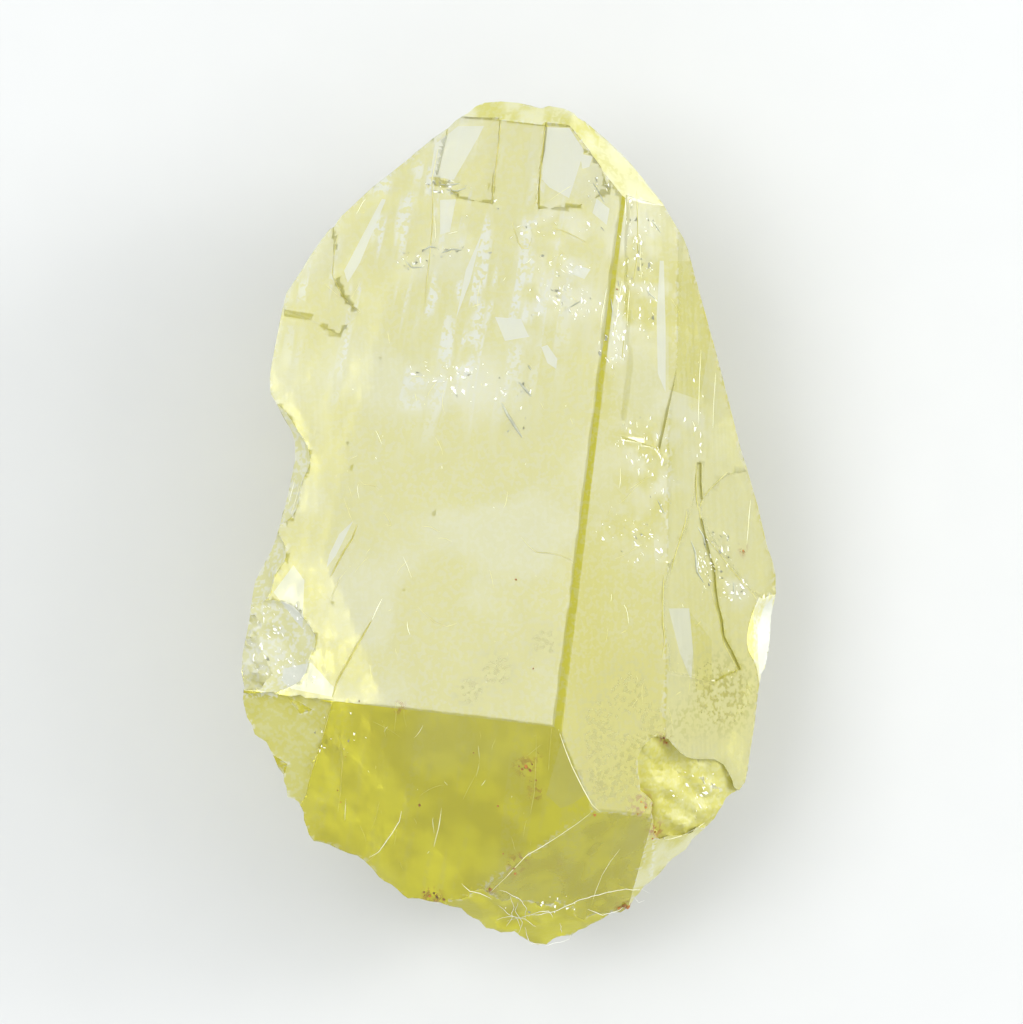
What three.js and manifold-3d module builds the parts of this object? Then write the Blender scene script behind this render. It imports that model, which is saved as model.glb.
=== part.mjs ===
// A brazilianite crystal: one natural, gem-clear piece of a yellow-green phosphate mineral.
// Units are millimetres and +Z is up. The crystal lies on its flat back, which is a cleavage face:
// +Y runs along its length towards the tip, +X across it, and z = 0 is the face that it rests on.
// The origin is on that face, below the middle of the outline.
import * as THREE from "three";
import { mergeVertices } from "three/addons/utils/BufferGeometryUtils.js";
import Module from "manifold-3d";

const wasm = await Module();
wasm.setup();

// Driving dimensions
const RIDGE_HEIGHT = 12.2; // from the back to the front corner, where the three large faces meet
const RIM_DROP = 0.4; // height of the upright rim under the front faces
const CHIPPED_RIM_DROP = 1.5; // the same along the left flank, where shells have sprung off it
const BACK_INSET = 0.27; // how much narrower the back is than the rim, as a share
const WALL_HOLLOWS = { depth: 0.42, size: 2.6, turns: 9, seed: 41 }; // dents in the side walls
const BLOCK = 70; // side of the cutting blocks, which are larger than the crystal

// How edges are roughened: the longest straight stretch, and how far a corner strays
const BASE_EDGE = { most: 0.45, stray: 0.06 };
const BREAK_EDGE = { most: 0.4, stray: 0.09 };
const STEP_EDGE = { most: 0.9, stray: 0.05 };
const EDGE_SEED = 5;

// The rim of the crystal seen from above, clockwise from the left end of the tip
const TIP = [
  [-1.61, 15.45], [-1.28, 15.74], [-0.96, 15.88], [-0.34, 15.93], [0.3, 15.87], [0.81, 15.75],
  [1.14, 15.65], [1.46, 15.74], [2.03, 15.63], [2.39, 15.45], [2.54, 15.27], [2.79, 15.15],
];
const RIGHT_FLANK = [
  [3.54, 14.52], [4.19, 13.91], [4.62, 13.44], [5.12, 12.8], [5.69, 12.08], [6.12, 11.36],
  [6.48, 10.79], [6.66, 10.36], [6.87, 9.57], [7.31, 8.02], [7.77, 6.41], [8.24, 4.64], [8.7, 2.87],
  [8.92, 2.23], [9.35, 0.79], [9.71, -0.72], [9.92, -1.29], [10.05, -1.86], [10.05, -2.51],
  [9.92, -3.37], [9.78, -4.74], [9.64, -5.35], [9.5, -5.56], [9.39, -6.07], [9.24, -7.36],
  [9.03, -8.65], [8.96, -9.22], [8.85, -9.65], [8.63, -9.94], [8.35, -10.05],
];
const BROKEN_BASE = [
  [8.13, -10.23], [7.84, -10.73], [7.49, -11.23], [6.84, -11.81], [6.62, -12.17], [5.91, -12.74],
  [5.04, -13.6], [4.69, -14.03], [4.54, -14.34], [4.19, -14.6], [3.83, -14.57], [3.04, -15.07],
  [2.61, -15.29], [2.32, -15.54], [1.96, -15.54], [1.64, -15.65], [1.39, -15.88], [1.1, -15.9],
  [0.74, -15.75], [0.42, -15.54], [0.17, -15.32], [-0.34, -15.36], [-0.91, -15.18],
  [-1.17, -14.85], [-1.61, -14.6], [-1.82, -14.35], [-2.61, -14.1], [-3.83, -13.96],
  [-4.04, -13.81], [-4.47, -13.42], [-4.91, -13.17], [-5.48, -12.53], [-6.05, -12.27],
  [-6.77, -11.95], [-7.38, -11.81], [-7.63, -11.3], [-7.74, -10.73], [-7.92, -10.37],
  [-8.35, -10.16], [-8.39, -9.8], [-8.49, -9.3], [-8.96, -8.43], [-9.14, -8.07], [-9.57, -7.79],
];
const LEFT_FLANK = [
  [-9.86, -7.14], [-10.01, -6.5], [-9.96, -6.07], [-10.05, -5.34], [-10.04, -4.8], [-9.78, -3.59],
  [-9.65, -2.58], [-9.57, -2.08], [-9.28, -1.5], [-8.96, -0.93], [-8.71, -0.28], [-8.49, 0.51],
  [-8.31, 1.29], [-8.17, 1.94], [-8.07, 2.51], [-8.06, 3.16], [-8.17, 3.52], [-8.42, 4.02],
  [-8.81, 4.7], [-8.98, 4.99], [-9.01, 5.53], [-8.96, 6.02], [-8.71, 7.28], [-8.53, 8.21],
  [-8.39, 8.78], [-7.85, 9.57], [-7.56, 10.07], [-7.06, 10.79], [-6.77, 11.15], [-6.59, 11.25],
  [-6.38, 11.58], [-5.19, 12.69], [-4.4, 13.3], [-3.76, 13.8], [-2.9, 14.52], [-2.32, 14.91],
  [-2.03, 15.2],
];

// The side walls in levels, from the back up to the rim: share of the rim's height, share that the
// outline is drawn in, rounds of evening out, and share of the full depth of the hollows
const WALL_LEVELS = [
  { share: 0, inset: BACK_INSET, rounds: 30, hollow: 0 },
  { share: 0.16, inset: 0.21, rounds: 24, hollow: 0.5 },
  { share: 0.32, inset: 0.15, rounds: 18, hollow: 0.9 },
  { share: 0.48, inset: 0.1, rounds: 12, hollow: 1 },
  { share: 0.64, inset: 0.055, rounds: 8, hollow: 0.9 },
  { share: 0.8, inset: 0.022, rounds: 4, hollow: 0.6 },
  { share: 0.92, inset: 0.006, rounds: 1, hollow: 0.2 },
  { share: 1, inset: 0, rounds: 0, hollow: 0 },
];

// A plane through the point (x, y, height), with its rise per millimetre along X and along Y
const plane = (x, y, height, riseX, riseY) => ({ x, y, height, riseX, riseY });
const heightOn = (face, x, y) =>
  face.height + face.riseX * (x - face.x) + face.riseY * (y - face.y);

// The crystal's faces on its front. Three of them meet in the front corner.
const CORNER = [1.8, -7.44, RIDGE_HEIGHT];
const MAIN_FACE = plane(...CORNER, 0.236, -0.091);
const SIDE_FACE = plane(...CORNER, -0.55, 0.006);
const LOWER_FACE = plane(...CORNER, 0.286, 0.357);
const OUTER_FACE = plane(5.93, 2.87, 9.99, -1.0, 0.012);
const RIDGE_BEVEL = plane(1.8, -7.44, RIDGE_HEIGHT - 0.065, -0.15, -0.0415);
const LOWER_SIDE_FACE = plane(3.11, -10.56, 11.46, -0.393, 1.301);
const LOWER_RIGHT_FACE = plane(5.33, -10.93, 10.1, -1.008, 1.453);
const TIP_BEVEL = plane(-1.5, 15.32, 9.36, 0.101, -1.2);
const SHOULDER_BEVEL = plane(2.18, 14.87, 10.27, -0.804, -0.9);
const FRONT_FACES = [
  MAIN_FACE, SIDE_FACE, LOWER_FACE, OUTER_FACE, RIDGE_BEVEL, LOWER_SIDE_FACE, LOWER_RIGHT_FACE,
  TIP_BEVEL, SHOULDER_BEVEL,
];

// The lie of the two deep breaks, at the lower end and at the lower right
const BASE_BREAK = plane(0, -13.85, 8.45, -0.27, 2.0);
const HOLLOW_BREAK = plane(5.51, -7.82, 9.62, -0.695, 0.379);

// Broken surfaces: the plane of each, the patch that it covers seen from above, how high and how
// large its lumps are, and the size of the small planes that it is made of
const BREAKS = [
  {
    // the end where the crystal broke off the rock
    face: BASE_BREAK,
    patch: [
      [-2.1, -13.7], [-0.2, -13.35], [1.6, -13.75], [3.4, -14.1], [4.6, -14.4], [4.6, -17],
      [-4, -17],
    ],
    lump: { height: 0.36, size: 0.9, seed: 3 },
    cell: 0.28,
  },
  {
    // the hollow with frosted lumps at the lower right
    face: HOLLOW_BREAK,
    patch: [
      [4.76, -8.57], [5.06, -8.08], [5.51, -7.82], [5.9, -7.93], [6.64, -8.64], [7.3, -8.72],
      [8.02, -8.94], [8.44, -9.84], [9.6, -10.1], [8.6, -11.9], [7.31, -11.34], [7.0, -11.3],
      [6.64, -11.57], [5.62, -11.72], [5.44, -11.64], [5.32, -10.26], [4.84, -9.84],
    ],
    lump: { height: 0.4, size: 1.15, seed: 11 },
    cell: 0.26,
  },
  {
    // the splintered edge beside the pit in the left flank
    face: plane(-9.6, -4.7, 8.6, 0.6, 0.1),
    patch: [
      [-10.8, -3.1], [-9.55, -3.3], [-9.3, -4.0], [-9.2, -4.8], [-8.9, -5.5], [-9.3, -6.05],
      [-10.8, -6.0],
    ],
    lump: { height: 0.28, size: 0.7, seed: 23 },
    cell: 0.24,
  },
  {
    // the rough corner of the lower face
    face: plane(-8.4, -8.0, 8.8, 0.286, 0.3),
    patch: [
      [-10.8, -6.15], [-9.2, -6.2], [-7.2, -6.4], [-6.65, -6.6], [-7.05, -8.1], [-7.55, -9.6],
      [-8.0, -10.6], [-11, -10.8],
    ],
    lump: { height: 0.07, size: 1.5, seed: 31 },
    cell: 0.5,
  },
];
const BREAK_WIDTH = 15; // side of the area that a break's small planes are laid out on
const BREAK_STRAY = 0.3; // how far a corner of a small plane strays, as a share of its size

// Slanting facets round the back, each by a point on it and the way that it faces
const BACK_FACETS = [
  { at: [-8.1, 4.0, 4.4], facing: [-0.8, 0.18, -0.57] },
  { at: [-7.4, -7.0, 3.8], facing: [-0.7, -0.3, -0.65] },
  { at: [8.2, -1.0, 3.2], facing: [0.78, 0.1, -0.62] },
  { at: [5.4, 8.6, 3.6], facing: [0.66, 0.42, -0.62] },
  { at: [0.0, 13.2, 4.2], facing: [-0.12, 0.82, -0.56] },
  { at: [-4.6, 10.6, 3.4], facing: [-0.62, 0.55, -0.56] },
  { at: [2.0, -12.9, 0.9], facing: [0.1, -0.5, -0.86] },
];

// Shell-shaped chips: centre, half sizes and the depth of their ripples as a share
const CHIPS = [
  { at: [-9.3, -4.3, 10.4], half: [2.15, 2.25, 1.6], ripple: 0.03 },
  { at: [-9.9, 2.5, 9.9], half: [2.5, 3.2, 2.1], ripple: 0.04 },
  { at: [-10.9, -0.9, 9.7], half: [2.5, 2.6, 1.9], ripple: 0.05 },
  { at: [-10.1, 6.6, 9.9], half: [1.55, 2.9, 1.7], ripple: 0.03 },
  { at: [-7.9, 11.4, 10.3], half: [1.25, 1.6, 1.6], ripple: 0.04 },
  { at: [10.9, -4.1, 7.3], half: [1.95, 3.3, 2.2], ripple: 0.05 },
  { at: [10.2, 1.6, 8.0], half: [1.25, 2.2, 1.8], ripple: 0.05 },
];
const CHIP_DETAIL = 11;
const RIPPLE_WAVES = { along: 9, deep: 5, across: 4 };

// Growth steps: patches of the large faces that lie a little lower than the rest of the face
const STEPS = [
  {
    face: MAIN_FACE,
    depth: 0.09,
    patch: [[-2.3, 15.3], [-0.4, 15.3], [-0.68, 12.05], [-1.9, 12.3], [-2.75, 13.1]],
  },
  {
    face: MAIN_FACE,
    depth: 0.12,
    patch: [[1.32, 15.2], [2.4, 14.9], [3.4, 13.4], [3.7, 12.5], [2.5, 11.9], [1.05, 11.85]],
  },
  {
    face: MAIN_FACE,
    depth: 0.16,
    patch: [[-6.6, 11.6], [-6.62, 9.4], [-6.1, 8.4], [-5.55, 8.05], [-6.4, 7.2], [-9.5, 8.6]],
  },
  {
    face: SIDE_FACE,
    depth: 0.12,
    patch: [[4.3, 12.6], [4.42, 6.0], [4.1, 3.4], [5.6, 2.9], [7.6, 12.6]],
  },
  {
    face: OUTER_FACE,
    depth: 0.16,
    patch: [
      [7.12, 0.88], [7.5, 1.37], [8.25, 2.0], [11, 2.4], [11, -2.9], [9.49, -2.72],
      [8.66, -1.89], [7.95, -0.96], [7.5, -0.28], [7.2, 0.32],
    ],
  },
  {
    face: OUTER_FACE,
    depth: 0.13,
    patch: [
      [6.9, 1.14], [7.0, 2.4], [7.18, 2.4], [7.2, 0.3], [7.7, -1.6], [7.84, -2.94],
      [8.06, -4.11], [8.7, -5.38], [7.6, -5.9], [6.0, -5.4], [5.7, -2.49], [6.15, -1.1],
      [6.56, -0.06],
    ],
  },
];

// A repeatable number between 0 and 1 for each corner of a lattice
function cornerValue(i, j, k, seed) {
  const mixed = Math.sin(i * 127.1 + j * 311.7 + k * 74.7 + seed * 53.3) * 43758.5453;
  return mixed - Math.floor(mixed);
}

// The same between -1 and 1
const strayValue = (i, j, k, seed) => 2 * cornerValue(i, j, k, seed) - 1;

const LATTICE_CORNERS = [0, 1, 2, 3, 4, 5, 6, 7].map((n) => [n & 1, (n >> 1) & 1, n >> 2]);

// Smooth noise from -1 to 1
function noise(x, y, z, seed) {
  const [i, j, k] = [Math.floor(x), Math.floor(y), Math.floor(z)];
  const ease = (t) => t * t * (3 - 2 * t);
  const [u, v, w] = [ease(x - i), ease(y - j), ease(z - k)];
  let sum = 0;
  for (const [di, dj, dk] of LATTICE_CORNERS) {
    const share = (di ? u : 1 - u) * (dj ? v : 1 - v) * (dk ? w : 1 - w);
    sum += share * cornerValue(i + di, j + dj, k + dk, seed);
  }
  return 2 * sum - 1;
}

// Hackly noise from about -1 to 1: large lumps with sharp creases, and smaller lumps on them.
// Its lattice is turned a little, so that no crease runs straight along the crystal.
function hackly(x, y, z, { size, seed }) {
  const [u, v, w] = [(0.8 * x - 0.6 * y) / size, (0.6 * x + 0.8 * y) / size, z / size];
  const finer = 2.7;
  const large = 1 - 2 * Math.abs(noise(u, v, w, seed));
  const small = noise(finer * u, finer * v, finer * w, seed + 1);
  return 0.7 * large + 0.45 * small;
}

// A closed geometry, with only its places left, as a solid
function solidOf(geometry) {
  const bare = geometry.clone();
  bare.deleteAttribute("normal");
  bare.deleteAttribute("uv");
  const merged = mergeVertices(bare, 1e-4);
  return new wasm.Manifold(
    new wasm.Mesh({
      numProp: 3,
      vertProperties: merged.attributes.position.array,
      triVerts: new Uint32Array(merged.index.array),
    }),
  );
}

// Moves each vertex of a geometry by a function that changes the vertex in place
function moveVertices(geometry, change) {
  const places = geometry.attributes.position;
  const point = new THREE.Vector3();
  for (let i = 0; i < places.count; i++) {
    point.fromBufferAttribute(places, i);
    change(point);
    places.setXYZ(i, point.x, point.y, point.z);
  }
}

// A line of points up to a last one, with long stretches divided and the new corners moved aside
function ragged(points, end, { most, stray }) {
  const line = [];
  points.forEach(([x, y], i) => {
    const [nextX, nextY] = points[i + 1] ?? end;
    const length = Math.hypot(nextX - x, nextY - y);
    const pieces = Math.ceil(length / most);
    for (let n = 0; n < pieces; n++) {
      const share = n / pieces;
      const aside = n === 0 ? 0 : stray * strayValue(i, n, 0, EDGE_SEED);
      line.push([
        x + (nextX - x) * share + ((nextY - y) / length) * aside,
        y + (nextY - y) * share + ((x - nextX) / length) * aside,
      ]);
    }
  });
  return line;
}

// The outline, anticlockwise, each point with the height of the rim there
function rimPoints() {
  const fronts = [...FRONT_FACES, BASE_BREAK, HOLLOW_BREAK];
  const under = (drop) => ([x, y]) => {
    const front = Math.min(...fronts.map((face) => heightOn(face, x, y)));
    return [x, y, front - drop];
  };
  const roughBase = ragged(BROKEN_BASE, LEFT_FLANK[0], BASE_EDGE);
  return [
    ...[...TIP, ...RIGHT_FLANK, ...roughBase].map(under(RIM_DROP)),
    ...LEFT_FLANK.map(under(CHIPPED_RIM_DROP)),
  ].reverse();
}

// A ring of points evened out towards each point's neighbours
function evened(ring, rounds) {
  let now = ring;
  for (let n = 0; n < rounds; n++) {
    now = now.map((point, i) => {
      const before = now[(i + now.length - 1) % now.length];
      const after = now[(i + 1) % now.length];
      return point.map((value, axis) => (2 * value + before[axis] + after[axis]) / 4);
    });
  }
  return now;
}

// One level of the side walls, as a ring of points
function wallRing(rim, { share, inset, rounds, hollow }) {
  return evened(rim, rounds).map(([x, y, rimHeight]) => {
    const dent = 0.5 + 0.5 * hackly(x, y, WALL_HOLLOWS.turns * share, WALL_HOLLOWS);
    const scale = 1 - inset - (hollow * WALL_HOLLOWS.depth * dent) / Math.hypot(x, y);
    return [x * scale, y * scale, share * rimHeight];
  });
}

// The block that the faces are cut from: the outline, narrowing and growing plainer to the back
function rimmedBlock() {
  const rim = rimPoints();
  const rings = WALL_LEVELS.map((level) => wallRing(rim, level));
  rings.push(rim.map(([x, y]) => [x, y, RIDGE_HEIGHT + 1]));
  const count = rim.length;
  const triangles = [];
  for (let level = 0; level + 1 < rings.length; level++) {
    for (let i = 0; i < count; i++) {
      const [a, b] = [level * count + i, level * count + ((i + 1) % count)];
      triangles.push(a, b, b + count, a, b + count, a + count);
    }
  }
  const lid = (ring) =>
    THREE.ShapeUtils.triangulateShape(ring.map(([x, y]) => new THREE.Vector2(x, y)), []);
  const top = (rings.length - 1) * count;
  lid(rings[0]).forEach(([a, b, c]) => triangles.push(a, c, b));
  lid(rings.at(-1)).forEach(([a, b, c]) => triangles.push(top + a, top + b, top + c));
  const geometry = new THREE.BufferGeometry();
  geometry.setAttribute("position", new THREE.Float32BufferAttribute(rings.flat(2), 3));
  geometry.setIndex(triangles);
  return solidOf(geometry);
}

// Everything above a plane
function above(face) {
  const block = new THREE.BoxGeometry(BLOCK, BLOCK, BLOCK);
  block.translate(0, 0, BLOCK / 2);
  moveVertices(block, (p) => {
    p.z += heightOn(face, p.x, p.y);
  });
  return solidOf(block);
}

// An upright prism over a patch seen from above, with ragged edges
function prismOver(patch, edge) {
  const corners = ragged(patch, patch[0], edge).map(([x, y]) => new THREE.Vector2(x, y));
  const shape = new THREE.Shape(corners);
  return new THREE.ExtrudeGeometry(shape, { depth: BLOCK, bevelEnabled: false });
}

// Everything in a patch that is above a break, with the break's hackly surface
function aboveBreak({ face, patch, lump, cell }) {
  const cells = Math.round(BREAK_WIDTH / cell);
  const block = new THREE.BoxGeometry(BREAK_WIDTH, BREAK_WIDTH, BLOCK, cells, cells, 1);
  block.translate(face.x, face.y, BLOCK / 2);
  moveVertices(block, (p) => {
    const onCut = p.z < BLOCK / 2;
    const [i, j] = [Math.round(p.x / cell), Math.round(p.y / cell)];
    p.x += BREAK_STRAY * cell * strayValue(i, j, 1, lump.seed);
    p.y += BREAK_STRAY * cell * strayValue(i, j, 2, lump.seed);
    p.z += heightOn(face, p.x, p.y) + (onCut ? lump.height * hackly(p.x, p.y, 0, lump) : 0);
  });
  return solidOf(block).intersect(solidOf(prismOver(patch, BREAK_EDGE)));
}

// Everything beyond a slanting facet of the back
function beyond({ at, facing }) {
  const outward = new THREE.Vector3(...facing).normalize();
  const block = new THREE.BoxGeometry(BLOCK, BLOCK, BLOCK);
  block.translate(0, 0, BLOCK / 2);
  block.applyQuaternion(
    new THREE.Quaternion().setFromUnitVectors(new THREE.Vector3(0, 0, 1), outward),
  );
  block.translate(...at);
  return solidOf(block);
}

// A shell-shaped chip, with ripples round the point where it was struck
function chip({ at, half, ripple }) {
  const { along, deep, across } = RIPPLE_WAVES;
  const ball = new THREE.IcosahedronGeometry(1, CHIP_DETAIL);
  moveVertices(ball, (p) => {
    const swell = 1 + ripple * Math.sin(along * p.y + deep * p.z) * Math.cos(across * p.x + p.z);
    p.multiplyScalar(swell);
    p.multiply(new THREE.Vector3(...half));
    p.add(new THREE.Vector3(...at));
  });
  return solidOf(ball);
}

// The material over a growth step: a patch with a floor that is parallel to its face
function overStep({ face, depth, patch }) {
  const slab = prismOver(patch, STEP_EDGE);
  moveVertices(slab, (p) => {
    p.z += heightOn(face, p.x, p.y) - depth;
  });
  return solidOf(slab);
}

// The crystal: the block without what its faces, steps, chips and breaks cut away
function crystalSolid() {
  const cuts = [
    ...FRONT_FACES.map(above),
    ...BACK_FACETS.map(beyond),
    ...STEPS.map(overStep),
    ...CHIPS.map(chip),
    ...BREAKS.map(aboveBreak),
  ];
  return cuts.reduce((solid, cut) => solid.subtract(cut), rimmedBlock());
}

// A solid as a three.js geometry
function geometryOf(solid) {
  const { vertProperties, triVerts } = solid.getMesh();
  const geometry = new THREE.BufferGeometry();
  geometry.setAttribute("position", new THREE.Float32BufferAttribute(vertProperties, 3));
  geometry.setIndex(new THREE.Uint32BufferAttribute(triVerts, 1));
  geometry.computeVertexNormals();
  return geometry;
}

const brazilianite = new THREE.MeshStandardMaterial({
  color: 0xd2ca70,
  roughness: 0.15,
  metalness: 0,
});

const crystal = new THREE.Mesh(geometryOf(crystalSolid()), brazilianite);
crystal.name = "brazilianite_crystal";

const part = new THREE.Group();
part.add(crystal);

export default part;
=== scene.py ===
"""The looks of a brazilianite crystal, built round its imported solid.

The crystal lies on its flat back and the camera looks straight down on its front faces.
Sizes are in millimetres until they are multiplied by MM. +Y runs along the crystal to its tip.
"""

import logging
import math
from dataclasses import dataclass, field
from enum import Enum

import bmesh
import bpy
import numpy as np
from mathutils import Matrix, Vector
from mathutils.bvhtree import BVHTree

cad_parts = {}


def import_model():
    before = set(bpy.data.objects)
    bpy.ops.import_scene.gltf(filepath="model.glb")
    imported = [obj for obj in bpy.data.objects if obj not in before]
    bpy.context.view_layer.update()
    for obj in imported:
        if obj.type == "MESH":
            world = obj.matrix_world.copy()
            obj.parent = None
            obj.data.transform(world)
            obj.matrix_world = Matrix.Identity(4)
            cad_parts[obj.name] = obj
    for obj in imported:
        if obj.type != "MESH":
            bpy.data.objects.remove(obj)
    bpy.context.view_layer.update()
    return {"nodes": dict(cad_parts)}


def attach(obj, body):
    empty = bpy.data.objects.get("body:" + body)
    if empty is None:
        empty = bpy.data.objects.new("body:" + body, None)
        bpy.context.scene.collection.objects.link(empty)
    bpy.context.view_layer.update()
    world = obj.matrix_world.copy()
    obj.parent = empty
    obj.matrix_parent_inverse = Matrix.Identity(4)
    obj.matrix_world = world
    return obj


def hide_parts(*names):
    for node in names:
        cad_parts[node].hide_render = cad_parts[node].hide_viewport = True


LOG = logging.getLogger("brazilianite")

MM = 0.001
CRYSTAL_NODE = "brazilianite_crystal"
BODY = "root"
GRAIN_TURN = 7.0
NOISE_RANGE = (0.3, 0.7)
DOWN = Vector((0.0, 0.0, -1.0))

Socket = bpy.types.NodeSocket
Colour = tuple[float, float, float]
Point = tuple[float, float]
Spot = tuple[float, float, float]
Triple = tuple[float, float, float]


class Zone(Enum):
    """A kind of surface on the crystal."""

    MAIN = 0
    SIDE = 1
    OUTER = 2
    LOWER = 3
    END = 4
    RIDGE = 5
    BEVEL = 6
    CORNER = 7
    STEP = 8
    BREAK = 9
    CHIP = 10
    BASE = 11
    WALL = 12
    BACK = 13


@dataclass(frozen=True)
class Slope:
    """The tilt of a front face, as its rise along X and along Y."""

    rise_x: float
    rise_y: float
    zone: Zone

    def normal(self) -> np.ndarray:
        """Return the way that the face looks, as a unit vector."""
        out = np.array([-self.rise_x, -self.rise_y, 1.0])
        return out / np.linalg.norm(out)


@dataclass(frozen=True)
class Line:
    """A thin line drawn on the crystal as seen from above, with its half width."""

    points: tuple[Point, ...]
    width: float


@dataclass(frozen=True)
class Crowd:
    """A crowd of small fractures, as an oval seen from above."""

    x: float
    y: float
    half_width: float
    half_height: float
    count: int
    turn: float
    # grey: the share of plates that are grey, as painted shadows
    grey: float


def paired(numbers: tuple[float, ...]) -> tuple[Point, ...]:
    """Return the points whose X and Y follow each other in a row of numbers."""
    return tuple(zip(numbers[::2], numbers[1::2]))


def strokes(*rows: tuple[float, ...]) -> tuple[Line, ...]:
    """Return a line for each row, which holds its half width and then its points."""
    return tuple(Line(paired(row[1:]), row[0]) for row in rows)


def outlines(*rows: tuple[float, ...]) -> tuple[tuple[Point, ...], ...]:
    """Return an outline for each row of points."""
    return tuple(paired(row) for row in rows)


FRONT_SLOPES = (
    Slope(0.236, -0.091, Zone.MAIN),
    Slope(-0.55, 0.006, Zone.SIDE),
    Slope(-1.0, 0.012, Zone.OUTER),
    Slope(0.286, 0.357, Zone.LOWER),
    Slope(-0.393, 1.301, Zone.END),
    Slope(-1.008, 1.453, Zone.CORNER),
    Slope(-0.15, -0.0415, Zone.RIDGE),
    Slope(0.101, -1.2, Zone.BEVEL),
    Slope(-0.804, -0.9, Zone.BEVEL),
)

# Bluish white panes that glint inside the crystal, clockwise as seen from above.
MILK_PANES = outlines(
    (-2.81, 14.31, -1.95, 14.98, -0.94, 14.98, -1.20, 14.53, -1.65, 13.63, -2.02, 12.96, -3.00,
     13.11),
    (1.31, 14.91, 2.21, 14.87, 2.77, 14.01, 2.55, 13.33, 2.21, 12.24, 1.46, 12.66, 1.20, 12.96),
    (2.59, 13.93, 3.07, 13.78, 2.96, 13.41, 2.70, 13.33),
    (3.23, 12.21, 3.71, 11.83, 3.60, 11.23, 3.07, 11.68),
    (2.48, 9.73, 3.00, 9.58, 2.77, 9.21, 2.25, 9.43),
    (-4.80, 12.28, -4.65, 12.24, -5.62, 9.88, -6.08, 9.13, -6.22, 9.58),
    (-0.60, 11.98, -0.45, 11.91, -1.50, 9.13, -1.95, 7.33, -2.10, 7.33, -1.65, 9.58),
    (-2.62, 12.21, -2.02, 12.24, -2.25, 11.01, -2.62, 10.93),
    (-0.56, 7.82, 0.41, 7.74, 0.71, 7.07, -0.19, 6.92),
    (1.16, 6.69, 1.39, 6.77, 1.76, 6.24, 1.72, 5.87, 1.39, 6.09),
    (5.59, 9.92, 5.74, 9.92, 5.81, 7.41, 5.81, 5.01, 5.51, 5.72, 5.47, 7.82),
    (5.92, -3.06, 6.71, -3.06, 6.86, -4.71, 6.79, -5.76, 6.34, -4.71),
    (9.60, -3.06, 9.94, -2.64, 9.90, -4.71, 9.41, -5.76, 9.34, -3.88),
    (-8.85, -2.46, -8.10, -1.44, -7.69, -2.01, -7.76, -3.81, -8.03, -3.51),
    (-5.66, 0.39, -5.62, 0.02, -6.52, -1.11, -6.97, -2.01, -6.75, -1.03, -6.38, -0.28),
    (-8.47, -5.31, -7.42, -5.08, -6.52, -6.06, -6.60, -6.36, -8.17, -6.06, -8.55, -5.76),
)

# Clear yellow panes.
YELLOW_PANES = outlines(
    (-0.45, 14.83, 1.27, 14.91, 1.05, 11.83, -0.67, 12.43),
    (-1.12, 14.87, -0.49, 15.06, -0.75, 12.24, -1.57, 12.24),
    (1.88, -8.01, 2.10, -8.01, 2.81, -9.96, 2.40, -10.26, 1.88, -10.48, 1.35, -9.96),
    (5.92, 9.92, 7.12, 9.92, 7.57, 7.37, 7.12, 4.74, 5.92, 5.12),
    (3.38, 0.24, 5.33, 0.24, 5.47, -2.76, 3.38, -4.26),
    (6.75, -3.21, 7.57, -4.26, 7.57, -6.13, 6.97, -6.13),
)

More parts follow.
